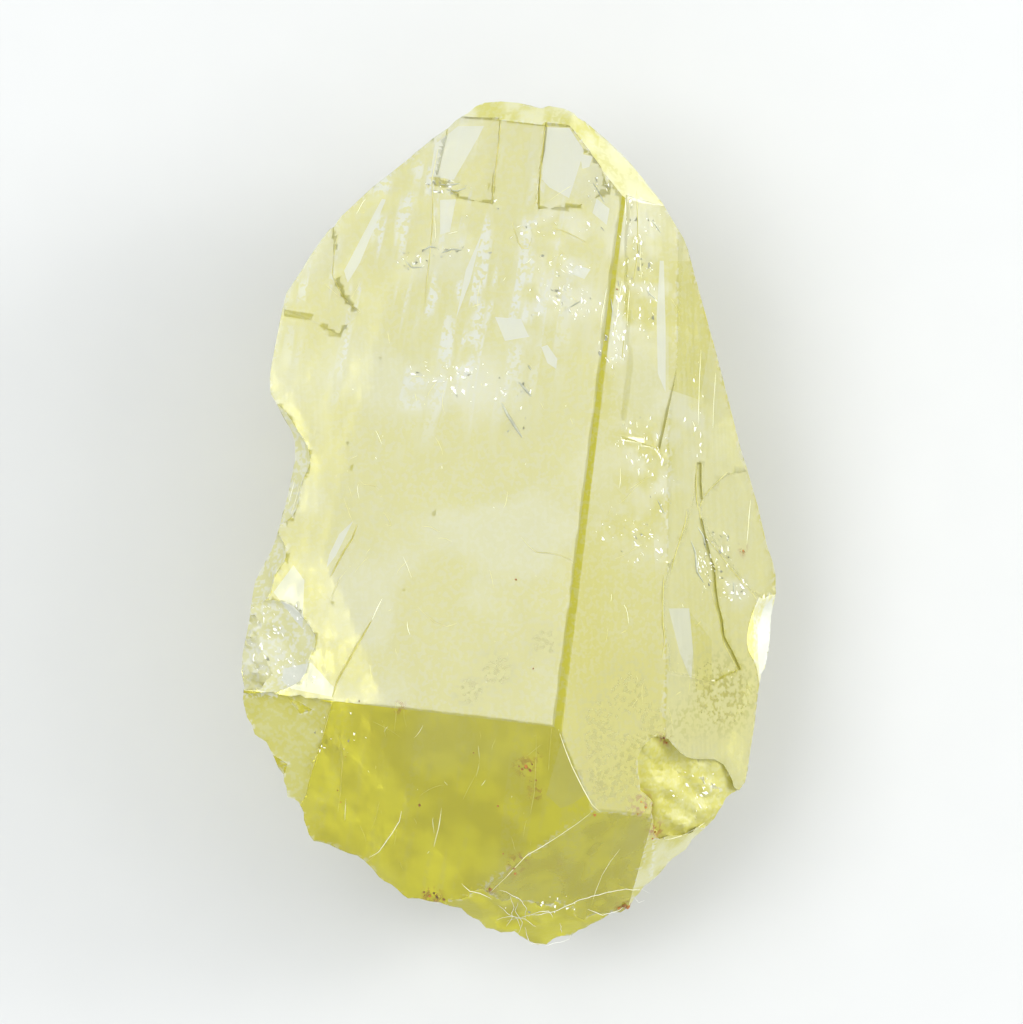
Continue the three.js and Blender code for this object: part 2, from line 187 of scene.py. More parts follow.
# Olive hairline cracks and ledges.
CRACKS = strokes(
    (0.0225, -0.34, 15.06, -0.49, 13.74, -0.67, 12.09),
    (0.0225, 1.31, 14.91, 1.16, 13.56, 1.05, 11.83),
    (0.015, -2.70, 14.12, -2.92, 12.96, -2.89, 11.83, -2.92, 10.93, -3.11, 9.13, -3.19, 8.08),
    (0.015, -6.45, 11.01, -6.60, 10.18, -6.67, 9.43, -6.22, 8.53, -5.62, 8.01),
    (0.015, 0.07, 11.38, 0.22, 10.89, 0.38, 10.41, 0.67, 10.33, 0.82, 10.78),
    (0.015, 1.43, 11.16, 1.95, 11.04, 2.48, 10.78, 2.85, 10.56),
    (0.0188, 4.72, 12.58, 4.76, 11.12, 4.76, 10.18, 4.58, 8.98),
    (0.015, 4.27, 7.22, 4.20, 6.62, 4.16, 6.13),
    (0.0375, -5.70, 0.09, -5.92, -0.51, -6.19, -0.88, -6.71, -1.89),
    (0.045, -5.17, -3.51, -5.47, -4.03, -5.77, -4.56, -6.15, -5.23, -6.45, -5.76, -6.64, -6.39),
    (0.0225, -6.64, -6.58, -7.05, -8.01, -7.42, -9.13, -7.57, -9.66),
    (0.009, -3.45, -2.98, -3.15, -3.28, -2.77, -3.58, -2.32, -3.73, -1.95, -3.58),
    (0.009, -3.30, 0.02, -2.92, -0.02, -2.62, -0.21),
    (0.009, 0.38, -0.36, 0.67, -0.69, 0.97, -0.96, 1.35, -0.96, 1.72, -1.03, 2.10, -1.14, 2.40,
     -1.41),
    (0.0263, 6.60, 0.58, 6.56, 0.17, 6.26, -0.77, 6.08, -1.37, 6.04, -1.71),
    (0.0225, 5.74, -1.78, 5.70, -2.68, 5.70, -3.58, 5.77, -4.29, 5.66, -4.93),
    (0.0225, 6.96, 2.42, 6.97, 1.74, 6.97, 1.03, 7.09, 0.51),
    (0.015, 8.17, 2.04, 7.54, 1.44, 7.20, 1.03, 7.09, 0.51, 7.20, 0.09, 7.39, -0.43, 7.91, -1.07,
     8.21, -1.48, 8.55, -1.89, 9.15, -2.53, 9.53, -3.06),
    (0.015, 7.54, -2.31, 7.72, -3.06, 7.91, -3.66, 8.03, -4.41, 8.44, -5.12, 8.74, -5.53),
    (0.0112, -6.38, -7.78, -6.26, -8.76, -6.34, -9.88, -6.45, -10.71),
    (0.009, 0.97, -7.63, 0.97, -8.61, 0.90, -9.96, 0.75, -10.71),
    (0.009, -4.27, -6.51, -4.24, -6.96, -4.31, -7.63),
    (0.0112, 1.57, -7.11, 1.50, -8.01, 1.43, -9.13),
    (0.009, -5.62, 1.74, -5.40, 1.52, -5.10, 1.59, -4.88, 1.37),
    (0.009, -4.72, 0.54, -4.50, 0.24, -4.42, 0.02, -4.65, 0.09),
)

# Grey splits, where a crack is seen from its side.
SPLITS = strokes(
    (0.05, 6.77, -0.54, 6.86, -0.77, 6.94, -0.96, 6.97, -1.33, 7.01, -1.71, 7.27, -2.12),
    (0.04, 7.03, -0.02, 7.24, -0.34, 7.35, -0.84),
    (0.03, 8.40, -2.08, 8.44, -2.61),
    (0.025, 5.51, 0.99, 5.66, 0.69, 5.77, 0.47),
    (0.04, -3.23, 10.33, -2.96, 10.48, -2.74, 10.41),
    (0.035, -2.55, 10.22, -2.17, 10.37, -1.80, 10.33),
    (0.03, -3.90, 9.92, -3.67, 9.69, -3.23, 9.69),
    (0.035, -2.62, 12.81, -2.25, 12.77, -1.88, 12.84),
    (0.03, -2.40, 12.62, -2.02, 12.54, -1.65, 12.66),
    (0.06, -0.30, 4.59, -0.07, 4.14, 0.11, 3.84, 0.45, 3.32),
    (0.05, 0.34, 5.38, 0.60, 5.08, 0.79, 4.86),
    (0.03, 0.67, 6.02, 0.79, 5.83),
    (0.03, 3.75, 8.49, 3.82, 8.04, 3.79, 7.67),
    (0.03, 2.17, 8.12, 2.40, 8.27, 2.62, 8.38),
    (0.025, 3.07, 12.84, 3.30, 12.47, 3.52, 12.02),
    (0.025, 5.29, 11.42, 5.47, 11.19, 5.62, 10.97),
    (0.025, 5.06, 8.87, 5.25, 8.64, 5.44, 8.49),
)

# White worn edges and scratches; the lines that run along edges are partly painted edge
# highlights.
WEAR_AND_HIGHLIGHT_LINES = strokes(
    (0.0216, -4.76, -2.68, -4.88, -2.91, -5.17, -3.51),
    (0.0144, -2.55, -10.48, -2.66, -11.23, -2.85, -11.98),
    (0.0096, -6.15, -10.18, -6.19, -11.01),
    (0.0168, 3.00, -10.63, 2.55, -11.01, 1.80, -11.53, 1.12, -11.98, 0.60, -12.28, -0.15, -13.11,
     -0.75, -13.71),
    (0.0096, 4.12, -12.06, 3.75, -12.58, 3.45, -13.11, 3.23, -13.71, 3.07, -14.31),
    (0.0192, 5.62, -11.68, 5.92, -11.76, 6.22, -11.68, 6.60, -11.57, 6.97, -11.38, 7.35, -11.16),
    (0.0168, 1.80, -7.52, 2.02, -8.19, 2.32, -8.94, 2.70, -9.69, 3.07, -10.37, 3.34, -10.59),
    (0.0144, 7.16, 6.62, 7.09, 5.49, 7.05, 3.81),
    (0.012, 7.72, 5.79, 7.65, 4.74, 7.61, 3.62),
    (0.0144, 9.07, 0.99, 9.00, 0.24, 8.92, -0.69),
    (0.0144, -8.03, 1.86, -8.17, 1.37, -8.32, 0.77),
    (0.0144, -7.88, 1.52, -8.03, 0.99, -8.21, 0.39),
    (0.012, 3.60, 8.87, 3.41, 7.82, 3.38, 7.37),
    (0.0144, 4.16, 9.13, 4.05, 8.49, 3.97, 7.74, 3.82, 7.07),
    (0.0144, 4.46, 8.87, 4.39, 8.12, 4.35, 7.37),
    (0.012, 4.88, 10.74, 4.84, 9.92, 4.91, 9.24),
    (0.0048, -1.20, -8.01, -1.12, -8.76, -1.27, -9.32),
)

# Lint that lies on the broken base and the lower face.
LINT = strokes(
    (0.012, -0.15, -14.91, 0.82, -14.68, 1.72, -14.46, 2.62, -14.08, 3.67, -13.78, 4.42, -13.67,
     5.02, -13.71, 5.33, -13.86),
    (0.0108, 0.67, -14.76, 1.12, -14.46, 1.50, -14.46, 1.65, -14.76),
    (0.0108, 2.92, -14.46, 3.52, -14.68, 4.12, -14.53, 4.42, -14.31),
    (0.012, 0.53, -15.13, 0.64, -15.51, 0.82, -15.81, 1.43, -15.88, 1.88, -15.73, 2.32, -15.51),
    (0.00896, 1.88, -14.98, 1.91, -15.21, 1.95, -15.51),
    (0.012, -4.05, -10.63, -4.16, -11.01, -4.35, -11.31, -4.65, -11.83, -4.95, -12.21, -5.25,
     -12.39),
    (0.0108, -1.80, -13.41, -1.50, -13.63, -1.05, -13.74, -0.67, -14.01),
    (0.00896, -0.45, -14.23, -0.15, -14.53, 0.22, -14.76, 0.38, -15.21),
    (0.00896, 0.00, -13.86, 0.15, -14.31, 0.07, -14.76, -0.15, -15.13),
    (0.00896, 0.38, -14.01, 0.22, -14.46, 0.45, -14.98, 0.30, -15.43),
    (0.00896, -0.53, -14.83, 0.00, -14.68, 0.53, -14.83, 0.97, -15.13),
    (0.00896, -0.38, -13.63, 0.38, -13.93, 0.67, -14.38, 0.53, -14.91),
    (0.0072, 4.72, -14.01, 4.88, -14.23, 5.10, -14.12),
)

# Where faint scratches lie on the front faces, as low X, low Y, high X and high Y.
HAIRLINE_BOXES = (
    (-7.0, -6.0, 1.0, 3.0),
    (-6.5, 3.0, 2.6, 13.0),
    (-5.5, -13.0, 1.0, -7.2),
    (3.2, -8.5, 7.5, 8.0),
)

# Round spots, as X, Y and radius.
ETCHED_SPOTS = (
    (-0.49, -5.31, 0.53), (-1.50, -6.13, 0.45), (1.31, -4.26, 0.45), (4.12, -8.19, 1.72),
    (5.25, -6.69, 1.50), (7.95, -6.32, 1.27), (3.38, -9.13, 0.97),
)
RUST_SPOTS = (
    (0.60, -8.94, 0.34), (0.94, -9.88, 0.26), (0.15, -12.84, 0.22), (-2.92, -13.86, 0.34),
    (5.44, -11.34, 0.30), (4.95, -10.37, 0.41), (5.77, -7.97, 0.22), (4.31, -14.34, 0.30),
    (1.01, -8.57, 0.15), (-4.12, -6.73, 0.22), (-0.75, -13.59, 0.15), (0.38, -12.51, 0.30),
    (8.78, -0.92, 0.15),
)
RUST_GRAINS = (
    (0.60, -8.91, 0.07), (0.75, -9.06, 0.06), (0.45, -9.02, 0.05), (0.34, -8.91, 0.04),
    (0.82, -8.83, 0.05), (0.97, -9.43, 0.035), (0.97, -9.73, 0.03), (0.94, -10.11, 0.035),
    (0.15, -12.77, 0.06), (0.19, -12.96, 0.05), (-0.75, -13.56, 0.07),
    (-3.23, -13.71, 0.05), (-3.00, -13.86, 0.06), (-2.74, -13.89, 0.05),
    (-2.48, -13.97, 0.05), (-2.85, -13.74, 0.04), (5.36, -11.23, 0.06),
    (5.44, -11.46, 0.05), (5.33, -11.68, 0.04), (4.88, -10.26, 0.04), (5.06, -10.48, 0.04),
    (4.76, -10.71, 0.04), (5.74, -7.89, 0.05), (5.85, -8.08, 0.05), (4.31, -14.31, 0.1),
    (4.46, -14.38, 0.08), (4.12, -14.42, 0.07), (3.15, -10.71, 0.06),
    (-3.38, -10.41, 0.05), (0.22, -1.97, 0.05), (0.86, -5.27, 0.035), (3.97, 8.83, 0.05),
    (-0.45, -10.41, 0.04), (-1.35, -8.42, 0.03), (-5.62, -6.51, 0.04), (8.78, -0.92, 0.05),
    (-6.45, -9.88, 0.03), (-6.34, -10.33, 0.03), (-6.15, -8.61, 0.025),
    (-0.26, -12.21, 0.03),
)

# Crowds of small fractures inside the crystal, as white plates for painted glints and grey plates
# for painted shadows.
CROWDS = tuple(Crowd(*row) for row in (
    (-2.32, 12.73, 0.90, 0.26, 72, 80, 0.45),
    (-3.67, 9.92, 0.64, 0.34, 54, 60, 0.5),
    (-2.40, 10.29, 0.97, 0.30, 66, 75, 0.5),
    (1.88, 9.77, 1.27, 0.45, 84, 60, 0.15),
    (2.48, 8.42, 0.90, 0.67, 108, 30, 0.2),
    (1.12, 8.49, 0.97, 0.75, 48, 40, 0.1),
    (3.30, 12.62, 0.45, 0.67, 42, 30, 0.4),
    (4.50, 10.56, 0.45, 1.57, 132, 5, 0.2),
    (5.10, 8.49, 0.38, 1.65, 108, 5, 0.2),
    (4.05, 7.56, 0.30, 1.72, 84, 8, 0.15),
    (3.82, 6.62, 0.53, 0.67, 60, 10, 0.1),
    (4.88, 3.06, 0.97, 1.05, 108, 0, 0.12),
    (5.44, 1.56, 0.67, 1.35, 72, 0, 0.1),
    (4.20, -0.13, 1.12, 0.45, 72, 60, 0.1),
    (4.88, -0.81, 0.82, 0.67, 60, 30, 0.1),
    (7.72, -1.11, 0.75, 0.97, 156, 35, 0.3),
    (7.27, -1.71, 0.38, 0.75, 60, 20, 0.45),
    (8.44, -2.38, 0.67, 0.53, 54, 60, 0.1),
    (0.22, 3.99, 0.60, 0.60, 28, -30, 0.9),
    (0.53, 5.19, 0.38, 0.45, 19, -30, 0.9),
    (-1.27, 5.31, 1.65, 0.67, 108, 45, 0.05),
    (-2.62, 5.79, 1.20, 0.45, 72, 60, 0.05),
    (1.88, 11.12, 1.72, 0.53, 72, 60, 0.15),
    (-9.00, -4.26, 0.82, 1.43, 132, 25, 0.05),
    (-7.88, -3.13, 0.53, 0.75, 36, 20, 0.1),
    (-7.88, -5.38, 0.90, 0.60, 48, 60, 0.05),
    (6.97, -9.88, 0.97, 0.82, 84, 40, 0.05),
    (1.31, -14.19, 1.50, 0.38, 28, 0, 0.15),
    (-6.38, -7.63, 1.05, 1.12, 48, 10, 0.25),
    (5.33, 11.31, 0.38, 0.53, 48, 40, 0.35),
    (-1.12, 11.68, 2.25, 1.50, 36, 80, 0.3),
    (6.75, 3.99, 0.53, 1.88, 36, 0, 0.1),
))


@dataclass(frozen=True)
class Layer:
    """A layer of noise, with how far it reaches and the size of its lumps."""

    reach: float
    size: float


class ValueNoise:
    """Smooth repeatable noise over points in space, from -1 to 1."""

    def __init__(self, seed: int) -> None:
        """Make the table of lattice values.

        Args:
            seed: the number that the values are drawn from.
        """
        self.size = 64
        self.table = np.random.default_rng(seed).uniform(-1, 1, (self.size,) * 3)

    def __call__(self, points: np.ndarray, size: float) -> np.ndarray:
        """Return the noise at each point.

        Args:
            points: an array of points, one to a row.
            size: the size of a lump, in the units of the points.

        Returns:
            One value for each point.
        """
        place = points / size
        cell = np.floor(place).astype(int)
        part = place - cell
        part = part * part * (3 - 2 * part)
        total = np.zeros(len(points))
        for corner in range(8):
            step = np.array([corner & 1, corner >> 1 & 1, corner >> 2])
            share = np.where(step, part, 1 - part).prod(axis=1)
            i, j, k = ((cell + step) % self.size).T
            total += share * self.table[i, j, k]
        return total

    def layer(self, points: np.ndarray, layer: Layer) -> np.ndarray:
        """Return the noise at each point, as far out as a layer reaches."""
        return layer.reach * self(points, layer.size)


def added(name: str, data: bpy.types.ID) -> bpy.types.Object:
    """Return a new object in the scene that holds some data."""
    item = bpy.data.objects.new(name, data)
    bpy.context.scene.collection.objects.link(item)
    return item


def vectors(items: bpy.types.bpy_prop_collection, name: str) -> np.ndarray:
    """Return a vector property of a mesh's items, one to a row."""
    values = np.zeros(len(items) * 3)
    items.foreach_get(name, values)
    return values.reshape(-1, 3)


def carry(mesh: bpy.types.Mesh, domain: str, values: dict[str, np.ndarray]) -> None:
    """Store numbers or vectors on a mesh.

    Args:
        mesh: the mesh that carries them.
        domain: what each of them belongs to, such as POINT or CORNER.
        values: the arrays by attribute name.
    """
    for name, array in values.items():
        kind, part = ("FLOAT_VECTOR", "vector") if array.ndim == 2 else ("FLOAT", "value")
        attribute = mesh.attributes.new(name, kind, domain)
        attribute.data.foreach_set(part, array.astype(np.float32).ravel())


def eased(value: np.ndarray, low: float, high: float) -> np.ndarray:
    """Return a share from 0 to 1 that grows smoothly as a value passes from low to high."""
    share = np.clip((value - low) / (high - low), 0, 1)
    return share * share * (3 - 2 * share)


def blend(share: np.ndarray, first: np.ndarray | Colour,
          second: np.ndarray | Colour) -> np.ndarray:
    """Return the colours between two colours, one row for each share."""
    part = share[:, None]
    return (1 - part) * np.asarray(first) + part * np.asarray(second)


def washed(under: np.ndarray, marks: dict[str, np.ndarray],
           washes: tuple[tuple[str, float, np.ndarray | Colour], ...]) -> np.ndarray:
    """Return colours with others laid over them, one after another.

    Args:
        under: the colours at the bottom.
        marks: how much of each mark there is, by name.
        washes: the mark that a colour is laid on, how well it covers, and the colour.

    Returns:
        The colours, one to a row.
    """
    for mark, cover, colour in washes:
        under = blend(cover * marks[mark], under, colour)
    return under


def in_spots(places: np.ndarray, spots: tuple[Spot, ...], soft: float) -> np.ndarray:
    """Return 1 in round spots seen from above, fading to 0 over their rims.

    Args:
        places: the places to look at, one to a row.
        spots: the spots.
        soft: the share of the radius that fades.

    Returns:
        One value for each place.
    """
    most = np.zeros(len(places))
    for x, y, radius in spots:
        reach = np.hypot(places[:, 0] - x, places[:, 1] - y) / radius
        part = np.clip((1 + soft - reach) / (2 * soft), 0, 1)
        most = np.maximum(most, part * part * (3 - 2 * part))
    return most


def in_panes(places: np.ndarray, panes: tuple[tuple[Point, ...], ...]) -> np.ndarray:
    """Return 1 inside convex outlines seen from above, which run clockwise.

    Args:
        places: the places to look at, one to a row.
        panes: the outlines' corners.

    Returns:
        One value for each place.
    """
    inside = np.zeros(len(places), bool)
    for pane in panes:
        within = np.ones(len(places), bool)
        for (x0, y0), (x1, y1) in zip(pane, pane[1:] + pane[:1]):
            within &= (places[:, 0] - x0) * (y1 - y0) - (places[:, 1] - y0) * (x1 - x0) > 0
        inside |= within
    return inside


class Wiring:
    """Adds nodes to a tree and fills their sockets."""

    tree: bpy.types.NodeTree

    def node(self, kind: str, **settings: object) -> bpy.types.Node:
        """Add a node and set its properties.

        Args:
            kind: the node's type name.
            settings: the properties to set on it.

        Returns:
            The new node.
        """
        node = self.tree.nodes.new(kind)
        for name, value in settings.items():
            setattr(node, name, value)
        return node

    def feed(self, socket: Socket, value: object) -> None:
        """Link a socket to an output, or set its value.

        Args:
            socket: the input to fill.
            value: an output socket or a plain value.
        """
        if isinstance(value, bpy.types.NodeSocket):
            self.tree.links.new(value, socket)
        elif hasattr(value, "__len__") and socket.type == "RGBA":
            socket.default_value = (*value, 1.0)
        else:
            socket.default_value = value


class Nodes(Wiring):
    """Writes shader nodes into a material, a method for each kind of pattern."""

    noise_roughness = 0.58

    def __init__(self, name: str) -> None:
        """Start an empty material.

        Args:
            name: the material's name.
        """
        self.material = bpy.data.materials.new(name)
        self.material.use_nodes = True
        self.tree = self.material.node_tree
        self.tree.nodes.clear()

    def place(self, turn: float = 0.0) -> Socket:
        """Return the place on the piece in millimetres.

        Args:
            turn: degrees that the pattern is turned round Z.

        Returns:
            A vector output.
        """
        coordinates = self.node("ShaderNodeTexCoord")
        mapping = self.node("ShaderNodeMapping")
        mapping.inputs["Scale"].default_value = (1 / MM,) * 3
        mapping.inputs["Rotation"].default_value = (0, 0, math.radians(turn))
        self.feed(mapping.inputs["Vector"], coordinates.outputs["Object"])
        return mapping.outputs["Vector"]

    def stretch(self, vector: Socket, by: Triple) -> Socket:
        """Return a vector with its parts multiplied."""
        node = self.node("ShaderNodeVectorMath", operation="MULTIPLY")
        self.feed(node.inputs[0], vector)
        node.inputs[1].default_value = by
        return node.outputs[0]

    def noise(self, vector: Socket, size: float, detail: float = 2.0,
              flat: bool = False) -> Socket:
        """Return noise from 0 to 1.

        Args:
            vector: where it is read.
            size: the size of its lumps in millimetres.
            detail: the number of finer layers.
            flat: whether it is the same at every height.

        Returns:
            A value output.
        """
        node = self.node("ShaderNodeTexNoise", noise_dimensions="2D" if flat else "3D")
        self.feed(node.inputs["Vector"], vector)
        node.inputs["Scale"].default_value = 1 / size
        node.inputs["Detail"].default_value = detail
        node.inputs["Roughness"].default_value = self.noise_roughness
        return node.outputs[0]

    def math(self, operation: str, first: object, second: object) -> Socket:
        """Return the result of a sum on two values."""
        node = self.node("ShaderNodeMath", operation=operation)
        self.feed(node.inputs[0], first)
        self.feed(node.inputs[1], second)
        return node.outputs[0]

    def ramp(self, value: Socket, low: float, high: float, to_low: float = 0.0,
             to_high: float = 1.0) -> Socket:
        """Return a value carried smoothly from one range to another.

        Args:
            value: what is carried over.
            low: the value that gives to_low.
            high: the value that gives to_high.
            to_low: the result at and below low.
            to_high: the result at and above high.

        Returns:
            A value output.
        """
        node = self.node("ShaderNodeMapRange", interpolation_type="SMOOTHSTEP")
        self.feed(node.inputs["Value"], value)
        for name, number in zip(("From Min", "From Max", "To Min", "To Max"),
                                (low, high, to_low, to_high)):
            node.inputs[name].default_value = number
        return node.outputs["Result"]

    def mix(self, share: object, first: object, second: object) -> Socket:
        """Return a colour between two colours."""
        node = self.node("ShaderNodeMix", data_type="RGBA")
        self.feed(node.inputs[0], share)
        self.feed(node.inputs[6], first)
        self.feed(node.inputs[7], second)
        return node.outputs[2]

    def attribute(self, name: str) -> Socket:
        """Return a value that the mesh carries."""
        return self.node("ShaderNodeAttribute", attribute_name=name).outputs["Fac"]

    def carried(self, name: str) -> Socket:
        """Return a colour that the mesh carries."""
        return self.node("ShaderNodeAttribute", attribute_name=name).outputs["Vector"]

    def bump(self, height: Socket, depth: float) -> Socket:
        """Return a normal that a height pattern tilts.

        Args:
            height: the pattern, from 0 to 1.
            depth: how deep it is in millimetres.

        Returns:
            A normal output.
        """
        node = self.node("ShaderNodeBump")
        node.inputs["Distance"].default_value = depth * MM
        self.feed(node.inputs["Height"], height)
        return node.outputs["Normal"]

    def principled(self, **inputs: object) -> bpy.types.Material:
        """Add the surface shader and the output, and fill the named inputs.

        Args:
            inputs: values by input name, with underscores for spaces.

        Returns:
            The material.
        """
        shader = self.node("ShaderNodeBsdfPrincipled")
        for name, value in inputs.items():
            self.feed(shader.inputs[name.replace("_", " ")], value)
        output = self.node("ShaderNodeOutputMaterial")
        self.feed(output.inputs["Surface"], shader.outputs["BSDF"])
        return self.material

    def absorb(self, colour: Colour, density: float) -> None:
        """Fill the piece with a clear body that takes colour from light passing through."""
        volume = self.node("ShaderNodeVolumeAbsorption")
        volume.inputs["Color"].default_value = (*colour, 1.0)
        volume.inputs["Density"].default_value = density
        output = next(n for n in self.tree.nodes if n.type == "OUTPUT_MATERIAL")
        self.feed(output.inputs["Volume"], volume.outputs["Volume"])


@dataclass(frozen=True)
class CrystalFinish:
    """Clear yellow-green crystal with milky streaks, etched specks and frosted breaks."""

    pale: Colour = (0.80, 0.78, 0.39)
    yellow: Colour = (0.75, 0.71, 0.17)
    gold: Colour = (0.72, 0.67, 0.10)
    olive: Colour = (0.87, 0.81, 0.025)
    dark_olive: Colour = (0.72, 0.66, 0.02)
    ridge: Colour = (0.74, 0.69, 0.03)
    speck: Colour = (0.52, 0.48, 0.04)
    frost: Colour = (0.90, 0.88, 0.50)
    milk: Colour = (0.87, 0.89, 0.80)
    bright: Colour = (0.94, 0.94, 0.80)
    rust: Colour = (0.50, 0.22, 0.03)
    depth_colour: Colour = (0.80, 0.77, 0.12)
    depth_density: float = 45.0
    ior: float = 1.61
    clear: float = 0.66
    matt: float = 0.16
    frosted_matt: float = 0.46
    frosted_tone: float = 0.62
    least_matt: float = 0.02
    matt_spread: float = 0.07
    matt_range: tuple[float, float] = (0.35, 0.7)
    wide_range: tuple[float, float] = (0.38, 0.62)
    lump_range: tuple[float, float] = (0.35, 0.65)
    deep_range: tuple[float, float] = (0.45, 0.75)
    cloud_range: tuple[float, float] = (0.46, 0.60)
    streak_range: tuple[float, float] = (0.36, 0.56)
    etched_range: tuple[float, float] = (0.25, 0.5)
    strand_range: tuple[float, float] = (0.47, 0.60)
    fine_range: tuple[float, float] = (0.45, 0.62)
    strand_stretch: Triple = (1.0, 0.08, 0.3)
    hair_stretch: Triple = (1.0, 0.05, 0.05)
    skew: float = 3.0
    fine_size: float = 0.2
    strand_size: float = 0.75
    hair_size: float = 0.14
    fine_depth: float = 0.015
    hair_depth: float = 0.004
    fine_gloss: float = 0.06

    def tints(self, marks: dict[str, np.ndarray]) -> dict[str, np.ndarray]:
        """Return the colours that each face corner carries, and its roughness.

        Args:
            marks: how much of each mark there is at every corner, by name.

        Returns:
            The plain colour, the colour of its streaks, the colour of its grains and the
            roughness, by attribute name.
        """
        wide, coarse = marks["wide"], marks["coarse"]
        lumps = eased(coarse, *self.lump_range)
        marks = marks | {
            "deep_haze": eased(wide, *self.deep_range),
            "cloudy": marks["cloudy"] * eased(coarse, *self.cloud_range),
            "streaked": marks["streaked"] * eased(coarse, *self.streak_range),
            "etched": marks["etched"] * eased(wide, *self.etched_range),
            "dusty": 1 - np.maximum(marks["lower"], marks["base"]),
        }
        deep = blend(lumps, self.olive, self.dark_olive)
        deep = washed(deep, marks, (("deep_haze", 0.4, self.yellow),))
        plain = blend(eased(wide, *self.wide_range), self.pale, self.yellow)
        plain = washed(plain, marks, (
            # painted shade: side faces turn deeper gold towards the bottom, where their sheen
            # fades
            ("low_side_painted_shade", 0.8, self.gold),
            # painted sheen: the outer face is washed frost-pale, standing in for a reflection it
            # does not catch
            ("outer", 0.6, self.frost),
            ("cloudy", 0.6, self.bright),
            ("lower", 1.0, deep),
            ("yellow_pane", 0.6, self.yellow),
            ("ridge", 1.0, self.ridge),
            ("broken", 0.9, blend(lumps, self.gold, self.yellow)),
            ("base", 1.0, blend(lumps, self.dark_olive, self.olive)),
            ("wall", 0.6, self.frost),
            ("bevel", 0.9, blend(lumps, self.yellow, self.frost)),
            # painted light: step walls take yellow and skip the frosted darkening, so they stay
            # bright though lit less
            ("step", 0.9, self.yellow),
            ("chip", 0.7, self.frost),
            ("milk_pane", 0.85, self.milk),
        ))
        streak = washed(plain, marks, (
            ("streaked", 1.0, self.milk),
            ("lower", 0.3, self.yellow),
            ("bevel", 0.7, self.frost),
        ))
        grain = washed(plain, marks, (
            ("dusty", 0.16, self.milk),
            ("chip", 0.6, self.bright),
            ("etched", 0.8, self.speck),
            # painted highlight: pale rims where zones meet, partly real edge wear
            ("edge_wear_and_highlight", 0.7, self.bright),
            ("rusty", 0.85, self.rust),
        ))
        # Step walls skip this darkening: painted light that keeps them bright where they are lit
        # less.
        shade = 1 - (1 - self.frosted_tone) * (marks["frosted"] - marks["step"])[:, None]
        matt = np.maximum(self.matt * marks["wall"], self.frosted_matt * marks["frosted"])
        patchy = self.least_matt + self.matt_spread * eased(coarse, *self.matt_range)
        gloss = np.maximum(matt, patchy)
        return {"plain": shade * plain, "streak": shade * streak, "grain": shade * grain,
                "gloss": gloss}

    def material(self, frosted: bool) -> bpy.types.Material:
        """Return the finished material.

        Args:
            frosted: whether it is the cloudy skin of breaks and worn edges, or clear.

        Returns:
            The material.
        """
        n = Nodes("crystal_frosted" if frosted else "crystal_clear")
        place = n.place()
        along = n.stretch(n.place(GRAIN_TURN + self.skew), self.strand_stretch)
        upright = n.stretch(n.place(-self.skew), self.hair_stretch)
        fine = n.noise(place, self.fine_size, 1.0)
        strand = n.noise(along, self.strand_size, 2.0, flat=True)
        hair = n.noise(upright, self.hair_size, 0.0, flat=True)
        body = n.mix(n.ramp(strand, *self.strand_range), n.carried("plain"),
                     n.carried("streak"))
        body = n.mix(n.ramp(fine, *self.fine_range), body, n.carried("grain"))
        roughness = n.math("ADD", n.attribute("gloss"), n.math("MULTIPLY", fine, self.fine_gloss))
        relief = (n.math("MULTIPLY", fine, self.fine_depth) if frosted
                  else n.math("MULTIPLY", hair, self.hair_depth))
        material = n.principled(Base_Color=body, Roughness=roughness, IOR=self.ior,
                                Transmission_Weight=0.0 if frosted else self.clear,
                                Normal=n.bump(relief, 1.0))
        if not frosted:
            n.absorb(self.depth_colour, self.depth_density)
        return material


@dataclass(frozen=True)
class ThreadFinish:
    """The material of the thin lines, with a tone that drifts along them."""

    name: str
    first: Colour
    second: Colour
    rough: float
    drift: float = 0.6
    drift_range: tuple[float, float] = (0.35, 0.65)
    grain_size: float = 0.05
    rough_spread: float = 0.1
    relief: float = 0.006

    def material(self) -> bpy.types.Material:
        """Return the finished material."""
        n = Nodes(self.name)
        place = n.place()
        tone = n.ramp(n.noise(place, self.drift), *self.drift_range)
        grain = n.noise(place, self.grain_size)
        roughness = n.ramp(grain, *NOISE_RANGE, self.rough - self.rough_spread,
                           self.rough + self.rough_spread)
        return n.principled(Base_Color=n.mix(tone, self.first, self.second),
                            Roughness=roughness, Normal=n.bump(grain, self.relief))


@dataclass(frozen=True)
class GrainFinish:
    """The material of small scattered grains, each with a tone of its own."""

    name: str
    light: Colour
    dark: Colour
    rough: float
    grain_size: float = 0.04
    tone_spread: float = 0.15
    rough_spread: float = 0.08
    relief: float = 0.01

    def material(self) -> bpy.types.Material:
        """Return the finished material."""
        n = Nodes(self.name)
        place = n.place()
        grain = n.noise(place, self.grain_size)
        stray = n.ramp(grain, *NOISE_RANGE, -self.tone_spread, self.tone_spread)
        body = n.mix(n.math("ADD", n.attribute("tone"), stray), self.light, self.dark)
        roughness = n.ramp(grain, *NOISE_RANGE, self.rough - self.rough_spread,
                           self.rough + self.rough_spread)
        return n.principled(Base_Color=body, Roughness=roughness,
                            Normal=n.bump(grain, self.relief))


